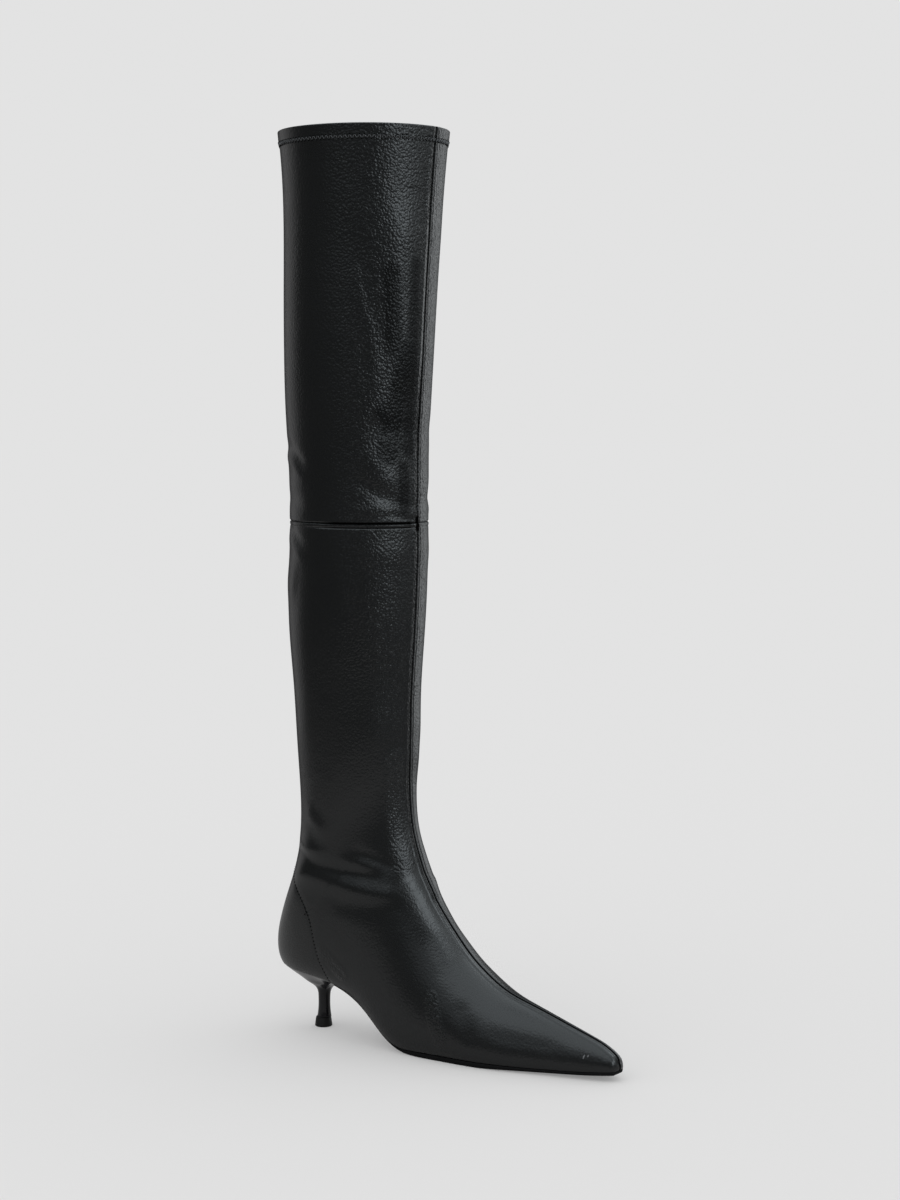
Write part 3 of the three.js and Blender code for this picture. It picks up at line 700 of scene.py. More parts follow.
class CounterOutline:
    """Where the counter lies on the skin: its front edge as a share of the way from the rim to the ridge."""

    EDGE_POINTS = 120
    STATIONS = (ANKLE_AT - 7, ANKLE_AT + 7)
    SAMPLES = 1401
    # Shares beside the edge that the upper's recess fades over
    EDGE_FADE = (-0.006, 0.012)

    def __init__(self, last):
        """Finds the station that holds each point of the edge, and the angle of the point on it."""
        share = np.array(COUNTER_EDGE)
        steps = np.linspace(0, len(share) - 1, self.EDGE_POINTS)
        x = Curve(last.foot_x(share[:, 0]))(steps)
        z = Curve(share[:, 1] * last.sizes.ankle_height)(steps)
        t = np.linspace(*self.STATIONS, self.SAMPLES)
        front_x, front_z, back_x, back_z, _, _, widest, crown, base = (c(t) for c in last.columns)
        cuts = last.cut(t)
        found = []
        for px, pz in zip(x, z):
            across = (px - back_x) * (front_z - back_z) - (pz - back_z) * (front_x - back_x)
            turn = np.where(np.sign(across[:-1]) != np.sign(across[1:]))[0]
            if not len(turn):
                continue
            k = turn[0]
            line = np.array([front_x[k] - back_x[k], front_z[k] - back_z[k]])
            up = float(np.dot([px - back_x[k], pz - back_z[k]], line) / np.dot(line, line))
            if up >= widest[k]:
                sine = ((up - widest[k]) / (1 - widest[k])) ** (crown[k] / 2)
            else:
                sine = -(min(1, (widest[k] - up) / widest[k]) ** (base[k] / 2))
            found.append((t[k], max(0.0, (math.asin(sine) - cuts[k]) / (QUARTER - cuts[k]))))
        self.t, self.share = np.array(sorted(found, key=lambda pair: pair[0])).T
        self.first, self.final = self.t[0], self.t[-1]

    def at(self, t):
        """The edge's share at station t, 0 beyond the counter."""
        return np.interp(t, self.t, self.share, left=0, right=0)

    def inside(self, t, u):
        """1 where the counter covers the upper, 0 in front of it."""
        from_rim = 1 - eased(np.abs(2 * u - 1), *RIDGE_STEPS)
        return smooth(*self.EDGE_FADE, self.at(t) - from_rim) * (self.at(t) > 0)


class BOOT_OT_thigh_shaft(PieceOperator, bpy.types.Operator):
    """Leather above the knee seam, with the folded hem at its collar"""

    bl_idname = "boot.thigh_shaft"
    bl_label = "Thigh shaft"

    AROUND = 200
    # Rows of the knee's edge, the shaft, the hem, the rim and the inside
    KNEE_ROWS = 9
    SHAFT_ROWS = 148
    HEM_ROWS = 24
    RIM_ROWS = 7
    INSIDE_ROWS = 40
    RIM_RADIUS = 0.8 * MM
    RIM_ARC = (0.15, 0.85)
    KNEE_ROUND = 0.6 * MM
    KNEE_ROUND_HEIGHT = 1.3 * MM

    def make(self, context, sizes, colours):
        last = Last(sizes)
        knee, collar = sizes.knee_height + GAP / 2, sizes.boot_height - self.RIM_RADIUS
        hem = sizes.boot_height - sizes.hem_depth
        outer_z = np.concatenate([
            np.linspace(knee, knee + 3 * MM, self.KNEE_ROWS),
            np.linspace(knee + 4.5 * MM, hem - 1.5 * MM, self.SHAFT_ROWS),
            np.linspace(hem - 1.3 * MM, collar, self.HEM_ROWS),
        ])
        rim_turn = np.linspace(*self.RIM_ARC, self.RIM_ROWS) * HALF_TURN
        inner_z = np.linspace(collar, knee, self.INSIDE_ROWS)
        z_line = np.concatenate([outer_z, collar + self.RIM_RADIUS * np.sin(rim_turn), inner_z])
        total = sizes.thigh_wall + sizes.hem_thickness
        inset = np.concatenate([
            np.zeros(len(outer_z)),
            total * (1 - np.cos(rim_turn)) / 2,
            np.full(len(inner_z), total),
        ])
        numbers = np.linspace(0, 1, len(z_line))

        def place(u, v):
            z, depth = np.interp(v, numbers, z_line), np.interp(v, numbers, inset)
            t = last.thigh_at(z)
            angle = ridge_angle(-QUARTER, u, *RIDGE_STEPS)
            point, out = last.skin(t, angle), last.normal(t, angle)
            out[:, 2] = 0
            out /= np.linalg.norm(out, axis=1, keepdims=True)
            outward = relief(point) + front_seam(point, 1) + hem_step(z, sizes)
            outward -= self.KNEE_ROUND * smooth(knee + self.KNEE_ROUND_HEIGHT, knee, z) ** 2
            face = np.where(depth > total * 0.99, -sizes.thigh_wall, outward - depth)
            return point + out * face[:, None]

        bm = bmesh.new()
        bent_grid(bm, self.AROUND, len(z_line) - 1, place)
        weld(bm)
        bottom = rims(bm)
        bmesh.ops.bridge_loops(bm, edges=bottom[0] + bottom[1])
        new_piece("Thigh_Shaft", bm, leather(colours), "thigh_shaft")


class BOOT_OT_counter(PieceOperator, bpy.types.Operator):
    """Leather over the back of the heel"""

    bl_idname = "boot.counter"
    bl_label = "Counter"

    ACROSS = 46
    ALONG = 110
    EDGE_ROUND = 0.3 * MM
    ROUND_FROM = 0.93
    WELD = 0.02 * MM
    WALL = 0.35 * MM

    def make(self, context, sizes, colours):
        last = Last(sizes)
        outline = CounterOutline(last)

        def half(inner):
            """Places the outer or the inner half, from its rim to its front edge."""

            def place(u, v):
                t = lerp(outline.first + 0.02, outline.final - 0.01, v)
                cut = last.cut(t)
                angle = cut + outline.at(t) * u * (QUARTER - cut)
                angle = HALF_TURN - angle if inner else angle
                rounded = self.EDGE_ROUND * smooth(self.ROUND_FROM, 1, u) ** 2
                return last.raised(t, angle, relief(last.skin(t, angle)) - rounded)

            return place

        bm = bmesh.new()
        for inner in (False, True):
            bent_grid(bm, self.ACROSS, self.ALONG, half(inner))
        weld(bm, self.WELD)
        piece = new_piece("Counter", bm, leather(colours), "counter")
        wall = piece.modifiers.new("Wall", "SOLIDIFY")
        wall.thickness, wall.offset = self.WALL, -1


class BOOT_OT_sole(PieceOperator, bpy.types.Operator):
    """Outsole and insole"""

    bl_idname = "boot.sole"
    bl_label = "Sole"

    ROWS = 260
    ACROSS = 25
    WELD = 0.004 * MM
    # The edge: the share of the drop where its upper corner ends, where its bevel begins and where it ends
    CORNER_DROP = 0.08
    BEVEL_DROPS = (0.3, 0.97)
    BEVEL_STEPS = (0.35, 0.7, 1)
    BEVEL_POWER = 1.4
    END_TRIM = 0.35 * MM
    SLIMMEST = 0.15 * MM
    INSOLE_BEVEL = 0.3 * MM
    INSOLE_BACK = 3 * MM
    INSOLE_FRONT = 6 * MM
    INSOLE_SPARE = 0.9 * MM

    def make(self, context, sizes, colours):
        last = Last(sizes)
        self.edge = last.edge()
        heel_x, toe_x = self.edge[0][0], self.edge[0][-1]

        def outsole_faces(x):
            return last.top(x), last.under(x)

        def insole_faces(x):
            seat = last.top(x) + GAP
            return seat + sizes.insole_thickness, seat

        bm = self.plate(sizes.breast_x + GAP, toe_x, sizes.sole_bevel, 0, outsole_faces)
        new_piece("Outsole", bm, sole_leather(colours), "outsole")
        first, final = heel_x + self.INSOLE_BACK, toe_x - self.INSOLE_FRONT
        inset = sizes.upper_wall + self.INSOLE_SPARE
        bm = self.plate(first, final, self.INSOLE_BEVEL, inset, insole_faces)
        new_piece("Insole", bm, lining(colours), "insole")

    def section(self, bevel):
        """Once round the plate from the top's outer edge: share of the width, of the drop, and trim."""
        across = np.linspace(0, 1, self.ACROSS)
        edge = [(self.CORNER_DROP, 0), (self.BEVEL_DROPS[0], 0)]
        for step in self.BEVEL_STEPS:
            edge.append((lerp(*self.BEVEL_DROPS, step), bevel * step**self.BEVEL_POWER))
        rows = [(share, 0, self.END_TRIM) for share in across]
        rows += [(1, *place) for place in edge]
        rows += [(share, 1, bevel + self.END_TRIM) for share in across[::-1]]
        rows += [(0, *place) for place in edge[::-1]]
        rows.append((0, 0, self.END_TRIM))
        return np.array(rows, float).T

    def plate(self, first, final, bevel, inset, faces):
        """A closed plate inside the last's edge; faces gives its top and its underside at x."""
        edge_x, outer, inner = self.edge
        side, drop, trim = self.section(bevel)
        numbers = np.linspace(0, 1, len(side))

        def place(u, v):
            cut = np.interp(u, numbers, trim)
            x = lerp(first, final, np.sin((v - 0.5) * HALF_TURN) / 2 + 0.5)
            x = np.clip(x, first + cut, final - cut)
            low = np.maximum(np.interp(x, edge_x, outer) - cut - inset, self.SLIMMEST)
            high = np.maximum(np.interp(x, edge_x, inner) - cut - inset, self.SLIMMEST)
            y = lerp(-low, high, np.interp(u, numbers, side))
            return np.stack([x, y, lerp(*faces(x), np.interp(u, numbers, drop))], -1)

        bm = bmesh.new()
        bent_grid(bm, len(side) - 1, self.ROWS, place)
        weld(bm, self.WELD)
        for ring in rims(bm):
            bmesh.ops.contextual_create(bm, geom=ring)
        bmesh.ops.triangulate(bm, faces=[face for face in bm.faces if len(face.verts) > 4])
        return bm


def needle_holes(name, points, radius, colours):
    """A small dark ball, half sunk in the leather, at each needle hole."""
    bm = bmesh.new()
    for point in points.tolist():
        bmesh.ops.create_icosphere(bm, subdivisions=1, radius=radius, matrix=Matrix.Translation(point))
    new_piece(name, bm, hole_black(colours))


def thread_run(bm, a, b, radius):
    """Adds one short thread from a to b, as a low capsule."""
    made = bmesh.ops.create_icosphere(bm, subdivisions=1, radius=radius)["verts"]
    stretch = Matrix.Diagonal((1, 1, (b - a).length / (2 * radius) + 0.5, 1))
    turn = (b - a).to_track_quat("Z", "Y").to_matrix().to_4x4()
    bmesh.ops.transform(bm, matrix=Matrix.Translation((a + b) / 2) @ turn @ stretch, verts=made)


class BOOT_OT_stitching(PieceOperator, bpy.types.Operator):
    """Zigzag thread of the hem, and the needle holes along the hem, the front seam and the counter"""

    bl_idname = "boot.stitching"
    bl_label = "Stitching"

    ZIGZAGS = 112
    ZIGZAG_HEIGHT = 2.8 * MM
    THREAD = 0.27 * MM
    THREAD_RAISE = 0.2 * MM
    # The front's row: its stations, spacing, bare ends, distance from the ridge and lowest hole
    FRONT_STATIONS = (1.5, COLLAR_AT - 0.15)
    FRONT_STEP = 0.5 * MM
    FRONT_PITCH = 2.1 * MM
    FRONT_END = 2 * MM
    FRONT_SIDE = 0.5 * MM
    FRONT_LOWEST = 125 * MM
    HOLE = 0.52 * MM
    # The counter's row: stations left bare at its ends, spacing, size, and share of the way to its front edge
    COUNTER_ENDS = (0.4, 0.6)
    COUNTER_SAMPLES = 400
    COUNTER_PITCH = 2.6 * MM
    COUNTER_HOLE = 0.42 * MM
    COUNTER_SHARE = 0.985

    def make(self, context, sizes, colours):
        last = Last(sizes)
        self.hem(last, sizes, colours)
        self.front(last, colours)
        self.counter(last, colours)

    def hem(self, last, sizes, colours):
        """Zigzag over the hem's edge, with a needle hole at every turn."""
        count = 2 * self.ZIGZAGS
        turns = np.arange(count + 1)
        edge = sizes.boot_height - sizes.hem_depth
        z = edge + self.ZIGZAG_HEIGHT / 2 * np.where(turns % 2, 1, -1)
        t = last.thigh_at(z)
        angle = (turns + 0.5) / count * 2 * HALF_TURN - QUARTER
        point = last.skin(t, angle)
        height = relief(point) + front_seam(point, 1) + hem_step(z, sizes)
        ends = [Vector(end) for end in last.raised(t, angle, height + self.THREAD_RAISE).tolist()]
        bm = bmesh.new()
        for a, b in zip(ends[:-1], ends[1:]):
            thread_run(bm, a, b, self.THREAD)
        new_piece("Hem_Stitching", bm, thread(colours))
        needle_holes("Hem_Needle_Holes", last.raised(t, angle, height)[:-1], self.HOLE, colours)

    def front(self, last, colours):
        """Needle holes beside the front seam, on its outer side."""
        t = last.rows(*self.FRONT_STATIONS, self.FRONT_STEP)
        run = run_along(last.skin(t, QUARTER))
        t = np.interp(np.arange(self.FRONT_END, run[-1] - self.FRONT_END, self.FRONT_PITCH), run, t)
        angle = np.full_like(t, QUARTER)
        for _ in range(4):
            y, near_y = (last.skin(t, angle - turn)[:, 1] for turn in (0, last.ANGLE_STEP / 2))
            angle = angle + (y + self.FRONT_SIDE) / (near_y - y) * last.ANGLE_STEP / 2
        point = last.skin(t, angle)
        point = last.raised(t, angle, relief(point) + front_seam(point, 1))
        needle_holes("Front_Needle_Holes", point[point[:, 2] > self.FRONT_LOWEST], self.HOLE, colours)

    def counter(self, last, colours):
        """Needle holes along the counter's front edge, on both sides."""
        outline = CounterOutline(last)
        lower, upper = self.COUNTER_ENDS
        t = np.linspace(outline.first + lower, outline.final - upper, self.COUNTER_SAMPLES)
        cut = last.cut(t)
        angle = cut + outline.at(t) * self.COUNTER_SHARE * (QUARTER - cut)
        run = run_along(last.skin(t, angle))
        at = np.arange(0, run[-1], self.COUNTER_PITCH)
        t, angle = np.interp(at, run, t), np.interp(at, run, angle)
        sides = [last.raised(t, side, relief(last.skin(t, side))) for side in (angle, HALF_TURN - angle)]
        needle_holes("Counter_Needle_Holes", np.concatenate(sides), self.COUNTER_HOLE, colours)


class BOOT_OT_heel(PieceOperator, bpy.types.Operator):
    """Glossy stem heel and its tip"""

    bl_idname = "boot.heel"
    bl_label = "Heel"

    SIDES = 96
    RINGS = 110
    SEAT_HALVINGS = 36
    TIP_STEPS = 64
    TIP_ROUND = 0.5 * MM
    TIP_FOOT = 0.9 * MM
    TIP_NECK = 0.2 * MM

    def make(self, context, sizes, colours):
        last = Last(sizes)
        self.stem(last, sizes, colours)
        self.tip(sizes, colours)

    def stem(self, last, sizes, colours):
        """The stem and its flare, up to the sole and out to the edge of the seat."""
        edge_x, outer, inner = last.edge()
        heel_x = edge_x[0]
        columns = [Curve([row[k] for row in FLARE_ROWS]) for k in range(3)]

        def seat_radius(angle):
            cosine, sine = np.cos(angle), np.sin(angle)
            near, far = np.zeros_like(angle), np.full_like(angle, sizes.heel_overhang + sizes.ball_width)
            for _ in range(self.SEAT_HALVINGS):
                radius = (near + far) / 2
                x = sizes.stem_x + cosine * radius
                half = np.where(sine < 0, np.interp(x, edge_x, outer), np.interp(x, edge_x, inner))
                fits = (x > heel_x) & (x < sizes.breast_x) & (np.abs(sine) * radius < half)
                near, far = np.where(fits, radius, near), np.where(fits, far, radius)
            return near

        seat_back = float(last.top(heel_x))
        base = sizes.tip_height + GAP

        def place(u, v):
            angle = u * 2 * HALF_TURN
            height, spread, girth = (column(v * (len(FLARE_ROWS) - 1)) for column in columns)
            spread = np.clip(spread, 0, 1)
            radius = lerp(girth * sizes.stem_radius, seat_radius(angle), spread)
            x = sizes.stem_x + radius * np.cos(angle)
            tilt = (last.top(x) - seat_back) * spread
            z = np.minimum(lerp(base, seat_back, height) + tilt, last.top(x))
            return np.stack([x, radius * np.sin(angle), z], -1)

        bm = bmesh.new()
        bent_grid(bm, self.SIDES, self.RINGS, place)
        weld(bm)
        for ring in rims(bm):
            face = bmesh.ops.contextual_create(bm, geom=ring)["faces"]
            bmesh.ops.poke(bm, faces=face)
        new_piece("Heel", bm, lacquer(colours), "heel")

    def tip(self, sizes, colours):
        """The tip: one side of its outline, spun round its axis."""
        foot, top, height = sizes.tip_radius, sizes.tip_top_radius, sizes.tip_height
        outline = (
            (0, 0),
            (foot - self.TIP_ROUND, 0),
            (foot, self.TIP_ROUND),
            (foot, self.TIP_FOOT),
            (top + self.TIP_ROUND / 2, height - self.TIP_ROUND),
            (top - self.TIP_NECK, height),
            (0, height),
        )
        bm = bmesh.new()
        verts = [bm.verts.new((x, 0, z)) for x, z in outline]
        edges = [bm.edges.new(pair) for pair in zip(verts[:-1], verts[1:])]
        bmesh.ops.spin(
            bm,
            geom=verts + edges,
            cent=(0, 0, 0),
            axis=(0, 0, 1),
            angle=2 * HALF_TURN,
            steps=self.TIP_STEPS,
            use_merge=True,
        )
        weld(bm)
        new_piece("Heel_Tip", bm, tip_rubber(colours), "heel_tip")


# Materials


def feed(tree, slot, value):
    """Links a value to a socket, or sets the socket to a constant."""
    if isinstance(value, Value):
        tree.links.new(value.socket, slot)
    else:
        slot.default_value = value


class Value:
    """A shader socket that Python's own operators work on."""

    def __init__(self, tree, socket):
        self.tree = tree
        self.socket = socket

    def reckon(self, operation, *values):
        """A Math node's result."""
        node = self.tree.nodes.new("ShaderNodeMath")
        node.operation = operation
        for slot, value in zip(node.inputs, values):
            feed(self.tree, slot, value)
        return Value(self.tree, node.outputs[0])

    def __add__(self, other):
        return self.reckon("ADD", self, other)

    def __radd__(self, other):
        return self.reckon("ADD", other, self)

    def __sub__(self, other):
        return self.reckon("SUBTRACT", self, other)

    def __rsub__(self, other):
        return self.reckon("SUBTRACT", other, self)

    def __mul__(self, other):
        return self.reckon("MULTIPLY", self, other)

    def __rmul__(self, other):
        return self.reckon("MULTIPLY", other, self)

    def size(self):
        return self.reckon("ABSOLUTE", self)

    def larger(self, other):
        return self.reckon("MAXIMUM", self, other)


class Finish:
    """A material whose nodes come from one method."""

    def __init__(self, name):
        self.material = bpy.data.materials.new(name)
        self.material.use_nodes = True
        self.tree = self.material.node_tree
        self.shader = self.tree.nodes["Principled BSDF"]

    def node(self, kind, settings=None, sockets=None, output=0):
        """Adds a node: settings first, then values or links of its sockets."""
        node = self.tree.nodes.new(kind)
        for name, value in (settings or {}).items():
            setattr(node, name, value)
        for name, value in (sockets or {}).items():
            feed(self.tree, node.inputs[name], value)
        return Value(self.tree, node.outputs[output])

    def set(self, **values):
        """Feeds the main shader's sockets, named in small letters."""
        for name, value in values.items():
            feed(self.tree, self.shader.inputs[name.replace("_", " ").title().replace("Ior", "IOR")], value)

    def place(self):
        """The piece's own coordinates."""
        return self.node("ShaderNodeTexCoord", output=3)

    def axes(self, where):
        """The three coordinates of a place."""
        return (self.node("ShaderNodeSeparateXYZ", sockets={"Vector": where}, output=i) for i in range(3))

    def noise(self, where, scale, detail, roughness=0.5):
        return self.node(
            "ShaderNodeTexNoise",
            sockets={"Vector": where, "Scale": scale, "Detail": detail, "Roughness": roughness},
        )

    def ramp(self, value, low, high, first, last):
        """A soft S from first to last as the value goes from low to high."""
        return self.node(
            "ShaderNodeMapRange",
            {"interpolation_type": "SMOOTHSTEP"},
            {"Value": value, "From Min": low, "From Max": high, "To Min": first, "To Max": last},
        )

    def vector(self, operation, *values, output=0):
        """A vector reckoning on sockets or plain vectors."""
        return self.node("ShaderNodeVectorMath", {"operation": operation}, dict(enumerate(values)), output)

    def stroke(self, where, start, end, width, share=1):
        """The share on the straight line from start to end, 0 beyond its width."""
        start, end = Vector(start), Vector(end)
        line = end - start
        away = self.vector("SUBTRACT", where, tuple(start))
        along = self.vector("DOT_PRODUCT", away, tuple(line / line.length_squared), output=1)
        along = self.node("ShaderNodeClamp", sockets={"Value": along})
        nearest = self.node("ShaderNodeVectorMath", {"operation": "SCALE"}, {0: tuple(line), "Scale": along})
        gap = self.vector("LENGTH", self.vector("SUBTRACT", away, nearest), output=1)
        return self.ramp(gap, width, width * 0.4, 0, share)

    def mix(self, share, first, second):
        """The first colour where share is 0, the second where it is 1."""
        sockets = {"Factor": share, 6: first, 7: second}
        return self.node("ShaderNodeMix", {"data_type": "RGBA"}, sockets, output=2)

    def shade_over(self, share, colour):
        """Lays a dull colour over the finish where share is 1."""
        dull = self.node("ShaderNodeBsdfDiffuse", sockets={"Color": colour})
        below = Value(self.tree, self.shader.outputs[0])
        mixed = self.node("ShaderNodeMixShader", sockets={0: share, 1: below, 2: dull})
        self.tree.links.new(mixed.socket, self.tree.nodes["Material Output"].inputs["Surface"])

    def bump(self, height, strength, distance):
        sockets = {"Height": height, "Strength": strength, "Distance": distance}
        return self.node("ShaderNodeBump", sockets=sockets)


def once(make):
    """Makes a finish when it is first asked for, and gives the same one again after that."""

    def made(colours):
        return bpy.data.materials.get(make.__name__.title()) or make(colours)

    return made


# Where the grain of the foot shows more: start, end, half width, share
GRAINY = (
    ((0.1155, -0.0317, 0.0430), (0.1265, -0.0355, 0.0160), 0.0080, 1.0),
    ((0.0700, -0.0120, 0.2000), (0.0800, -0.0140, 0.1300), 0.0140, 0.9),
    ((0.0250, -0.0290, 0.0640), (0.0400, -0.0300, 0.0500), 0.0080, 0.9),
)

# Painted shade in the soft hollows between the folds of the thigh: start, end, half width, share
HOLLOW_SHADE = (
    ((0.0794, -0.0272, 0.5340), (0.0788, -0.0237, 0.4845), 0.0085, 0.50),
    ((0.0825, -0.0143, 0.4814), (0.0745, -0.0247, 0.4112), 0.0110, 0.55),
    ((0.0858, -0.0120, 0.5400), (0.0812, -0.0095, 0.4143), 0.0070, 0.50),
    ((0.0720, -0.0290, 0.4402), (0.0797, -0.0135, 0.4165), 0.0060, 0.45),
    ((0.0792, -0.0137, 0.4018), (0.0799, -0.0124, 0.3740), 0.0065, 0.50),
)

# Pale marks on the outer side of the toe: start, end, half width, share
TOE_MARKS = (
    ((0.2262, -0.0112, 0.0185), (0.2252, -0.0118, 0.0145), 0.0006, 1.0),
    ((0.2286, -0.0104, 0.0178), (0.2280, -0.0107, 0.0160), 0.0005, 1.0),
)

# Painted shade in the pucker where the two seams cross, above and below the knee seam: start, end, half width
PUCKER_SHADE = ((0.0819, -0.0005, 0.0030), (0.0819, -0.0005, -0.0045), 0.0026)

# Half widths of the dark lines in the seams: where each is gone and where it is full
FRONT_LINE = (0.8 * MM, 0.5 * MM)
SEAM_LINE = (1.3 * MM, 0.8 * MM)
WELT_LINE = (0.7 * MM, 0.3 * MM)
# How much wider the front's line is on the foot and on the thigh, and how far it lies to the outer side
FOOT_SPARE = 0.3 * MM
THIGH_SPARE = 0.4 * MM
FRONT_ASIDE = 0.2 * MM
# The welt's line under the knee seam
WELT_DROP = 3 * MM
GRAIN_DEPTH = 0.43 * MM


def strokes(finish, where, rows, under):
    """The largest of the value under and all the strokes."""
    for row in rows:
        under = under.larger(finish.stroke(where, *row))
    return under


def front_line(finish, where):
    """The closed line of the front seam, wider on the foot and on the thigh."""
    ahead, aside, high = finish.axes(where)
    on_foot = finish.ramp(high, 0.11, 0.18, 1, 0)
    on_thigh = finish.ramp(high, 0.39, 0.45, 0, 1)
    spare = on_foot * FOOT_SPARE + on_thigh * THIGH_SPARE
    line = finish.ramp((aside + FRONT_ASIDE).size() - spare, *FRONT_LINE, 0, 1)
    return line * finish.ramp(ahead, 0.03, 0.034, 0, 1) * (on_foot * 0.12 + 0.85)


def knee_lines(finish, where, knee):
    """The two dark lines of the knee seam on its outer front, and painted shade in the pucker where the seams
    cross.
    """
    ahead, aside, high = finish.axes(where)
    seam = finish.ramp((high - knee).size(), *SEAM_LINE, 0, 1)
    welt = finish.ramp((high - (knee - WELT_DROP)).size(), *WELT_LINE, 0, 1)
    outer_front = finish.ramp(ahead, 0.03, 0.045, 0, 1) * finish.ramp(aside, -0.004, -0.008, 0, 1)
    above = finish.vector("SUBTRACT", where, (0, 0, knee))
    return ((seam + welt) * outer_front * 0.9).larger(finish.stroke(above, *PUCKER_SHADE))


@once
def leather(colours):
    """Soft black stretch leather: fine pebbled grain, a thin finish and a broad sheen, pale marks near the
    toe, dark seam lines, and painted shade in the thigh's hollows and in the knee pucker.
    """
    finish = Finish("Leather")
    where = finish.place()
    ahead, _, high = finish.axes(where)
    drawn = finish.ramp(high, 0.10, 0.42, 0.25, 1) * finish.ramp(ahead, 0.035, 0.06, 0.35, 1)
    drawn = strokes(finish, where, GRAINY, drawn)
    cells = {"Vector": where, "Scale": 580.0, "Smoothness": 0.3}
    pebble = 1 - finish.node("ShaderNodeTexVoronoi", {"feature": "SMOOTH_F1"}, cells)
    fine = finish.noise(where, 640.0, 1.0)
    broad = finish.noise(where, 60.0, 3.0, 0.55)
    soft = finish.noise(where, 16.0, 2.0)
    black = tuple(colours.leather)
    # Pale marks near the toe, laid into the base colour
    marks = strokes(finish, where, TOE_MARKS[1:], finish.stroke(where, *TOE_MARKS[0]))
    finish.set(
        base_color=finish.mix(marks, black, tuple(colours.scuff)),
        roughness=0.20 + fine * 0.07 + soft * 0.12,
        normal=finish.bump((pebble * 0.8 + fine) * drawn + broad * 0.7, 1.0, GRAIN_DEPTH),
        specular_ior_level=0.5,
        coat_weight=0.1,
        coat_roughness=0.3,
    )
    knee = bpy.context.scene.boot_sizes.knee_height
    lines = front_line(finish, where).larger(knee_lines(finish, where, knee))
    # Dull near-black laid over the finish: the seams' dark lines, painted shade in the thigh's soft hollows,
    # and painted shade in the pucker at the knee
    finish.shade_over(strokes(finish, where, HOLLOW_SHADE, lines), tuple(colours.hole))
    return finish.material


@once
def thread(colours):
    """Waxed black thread."""
    finish = Finish("Thread")
    twist = finish.noise(finish.place(), 2600.0, 2.0)
    finish.set(base_color=tuple(colours.thread), roughness=0.3 + twist * 0.15, specular_ior_level=0.8)
    return finish.material


@once
def hole_black(colours):
    """Dull black of the needle holes."""
    finish = Finish("Hole_Black")
    finish.set(base_color=tuple(colours.hole), roughness=1.0, specular_ior_level=0.05)
    return finish.material


def sole_leather(colours):
    """Inked sole leather."""
    finish = Finish("Sole_Leather")
    mottle = finish.noise(finish.place(), 420.0, 4.0, 0.6)
    finish.set(
        base_color=tuple(colours.sole),
        roughness=0.5 + mottle * 0.18,
        specular_ior_level=0.06,
        normal=finish.bump(mottle, 0.25, 0.0002),
    )
    return finish.material


def lining(colours):
    """Matte lining."""
    finish = Finish("Lining")
    mottle = finish.noise(finish.place(), 900.0, 3.0, 0.6)
    finish.set(base_color=tuple(colours.lining), roughness=0.8, normal=finish.bump(mottle, 0.3, 0.0002))
    return finish.material


def lacquer(colours):
    """Glossy lacquered heel."""
    finish = Finish("Heel_Lacquer")
    wave = finish.noise(finish.place(), 60.0, 2.0)
    finish.set(
        base_color=tuple(colours.lacquer),
        roughness=0.16 + wave * 0.06,
        specular_ior_level=0.3,
        coat_weight=0.25,
        coat_roughness=0.06,
    )
    return finish.material


def tip_rubber(colours):
    """Satin heel tip."""
    finish = Finish("Tip_Rubber")
    mottle = finish.noise(finish.place(), 700.0, 3.0, 0.6)
    finish.set(base_color=tuple(colours.tip), roughness=0.42 + mottle * 0.15, specular_ior_level=0.25)
    return finish.material


def floor_paint(colours):
    """Plain pale studio floor, darker where the boot mirrors it."""
    finish = Finish("Studio_Floor")
    own, mirrored = (
        tuple(channel * share for channel in colours.floor[:3]) + (1.0,)
        for share in (1 - FLOOR_GLOW, FLOOR_IN_REFLECTIONS)
    )
    finish.set(base_color=own, roughness=1.0, specular_ior_level=0.0)
    finish.set(emission_color=tuple(colours.air), emission_strength=FLOOR_GLOW)
    finish.shade_over(finish.node("ShaderNodeLightPath", output=3), mirrored)
    return finish.material


# Stage

# Lights: name, place, aim, width, height, power, colour.
LIGHTS = (
    ("Front_Right", (1.46, -0.31, 1.05), (0.03, 0.0, 0.42), 0.85, 1.1, 9.4, (0.86, 0.95, 1.0)),
    ("Front_Far", (1.36, 0.5, 1.0), (0.06, 0.0, 0.25), 0.6, 1.8, 2.6, (0.9, 0.97, 1.0)),
    ("Camera_Side", (0.0, -1.75, 1.15), (0.08, 0.0, 0.1), 1.6, 0.8, 1.5, (0.86, 0.95, 1.0)),
    ("Far_Right", (0.35, 1.45, 0.6), (0.03, 0.0, 0.33), 0.9, 1.4, 4.3, (0.94, 0.98, 1.0)),
    ("Far_High", (0.78, 1.25, 1.45), (0.08, 0.0, 0.08), 0.8, 0.8, 4.0, (0.86, 0.95, 1.0)),
    ("Back_Left", (-1.5, 0.13, 0.5), (0.03, 0.0, 0.33), 1.0, 1.2, 1.25, (1.0, 0.99, 1.0)),
    ("Overhead", (-0.1, -0.2, 1.8), (-0.1, -0.2, 0.0), 2.5, 3.4, 36.0, (0.86, 0.95, 1.0)),
)
FLOOR_RADIUS = 0.75
BACKDROP_RADIUS = 30.0
# How bright the floor is in reflections, and the share of its light that is its own
FLOOR_IN_REFLECTIONS = 0.55
FLOOR_GLOW = 0.3
# Strength of the air for soft light and in reflections
AIR_DIFFUSE = 1.25
AIR_GLOSSY = 0.09
# The camera: place in metres, turn from +Y towards -X, pitch down and roll in degrees, lens in millimetres
CAMERA_PLACE = (1.0202, -1.3237, 0.4414)
CAMERA_AZIMUTH = 34.54
CAMERA_PITCH = 4.602
CAMERA_ROLL = 0.18
CAMERA_LENS = 70.875
SENSOR_WIDTH = 36.0


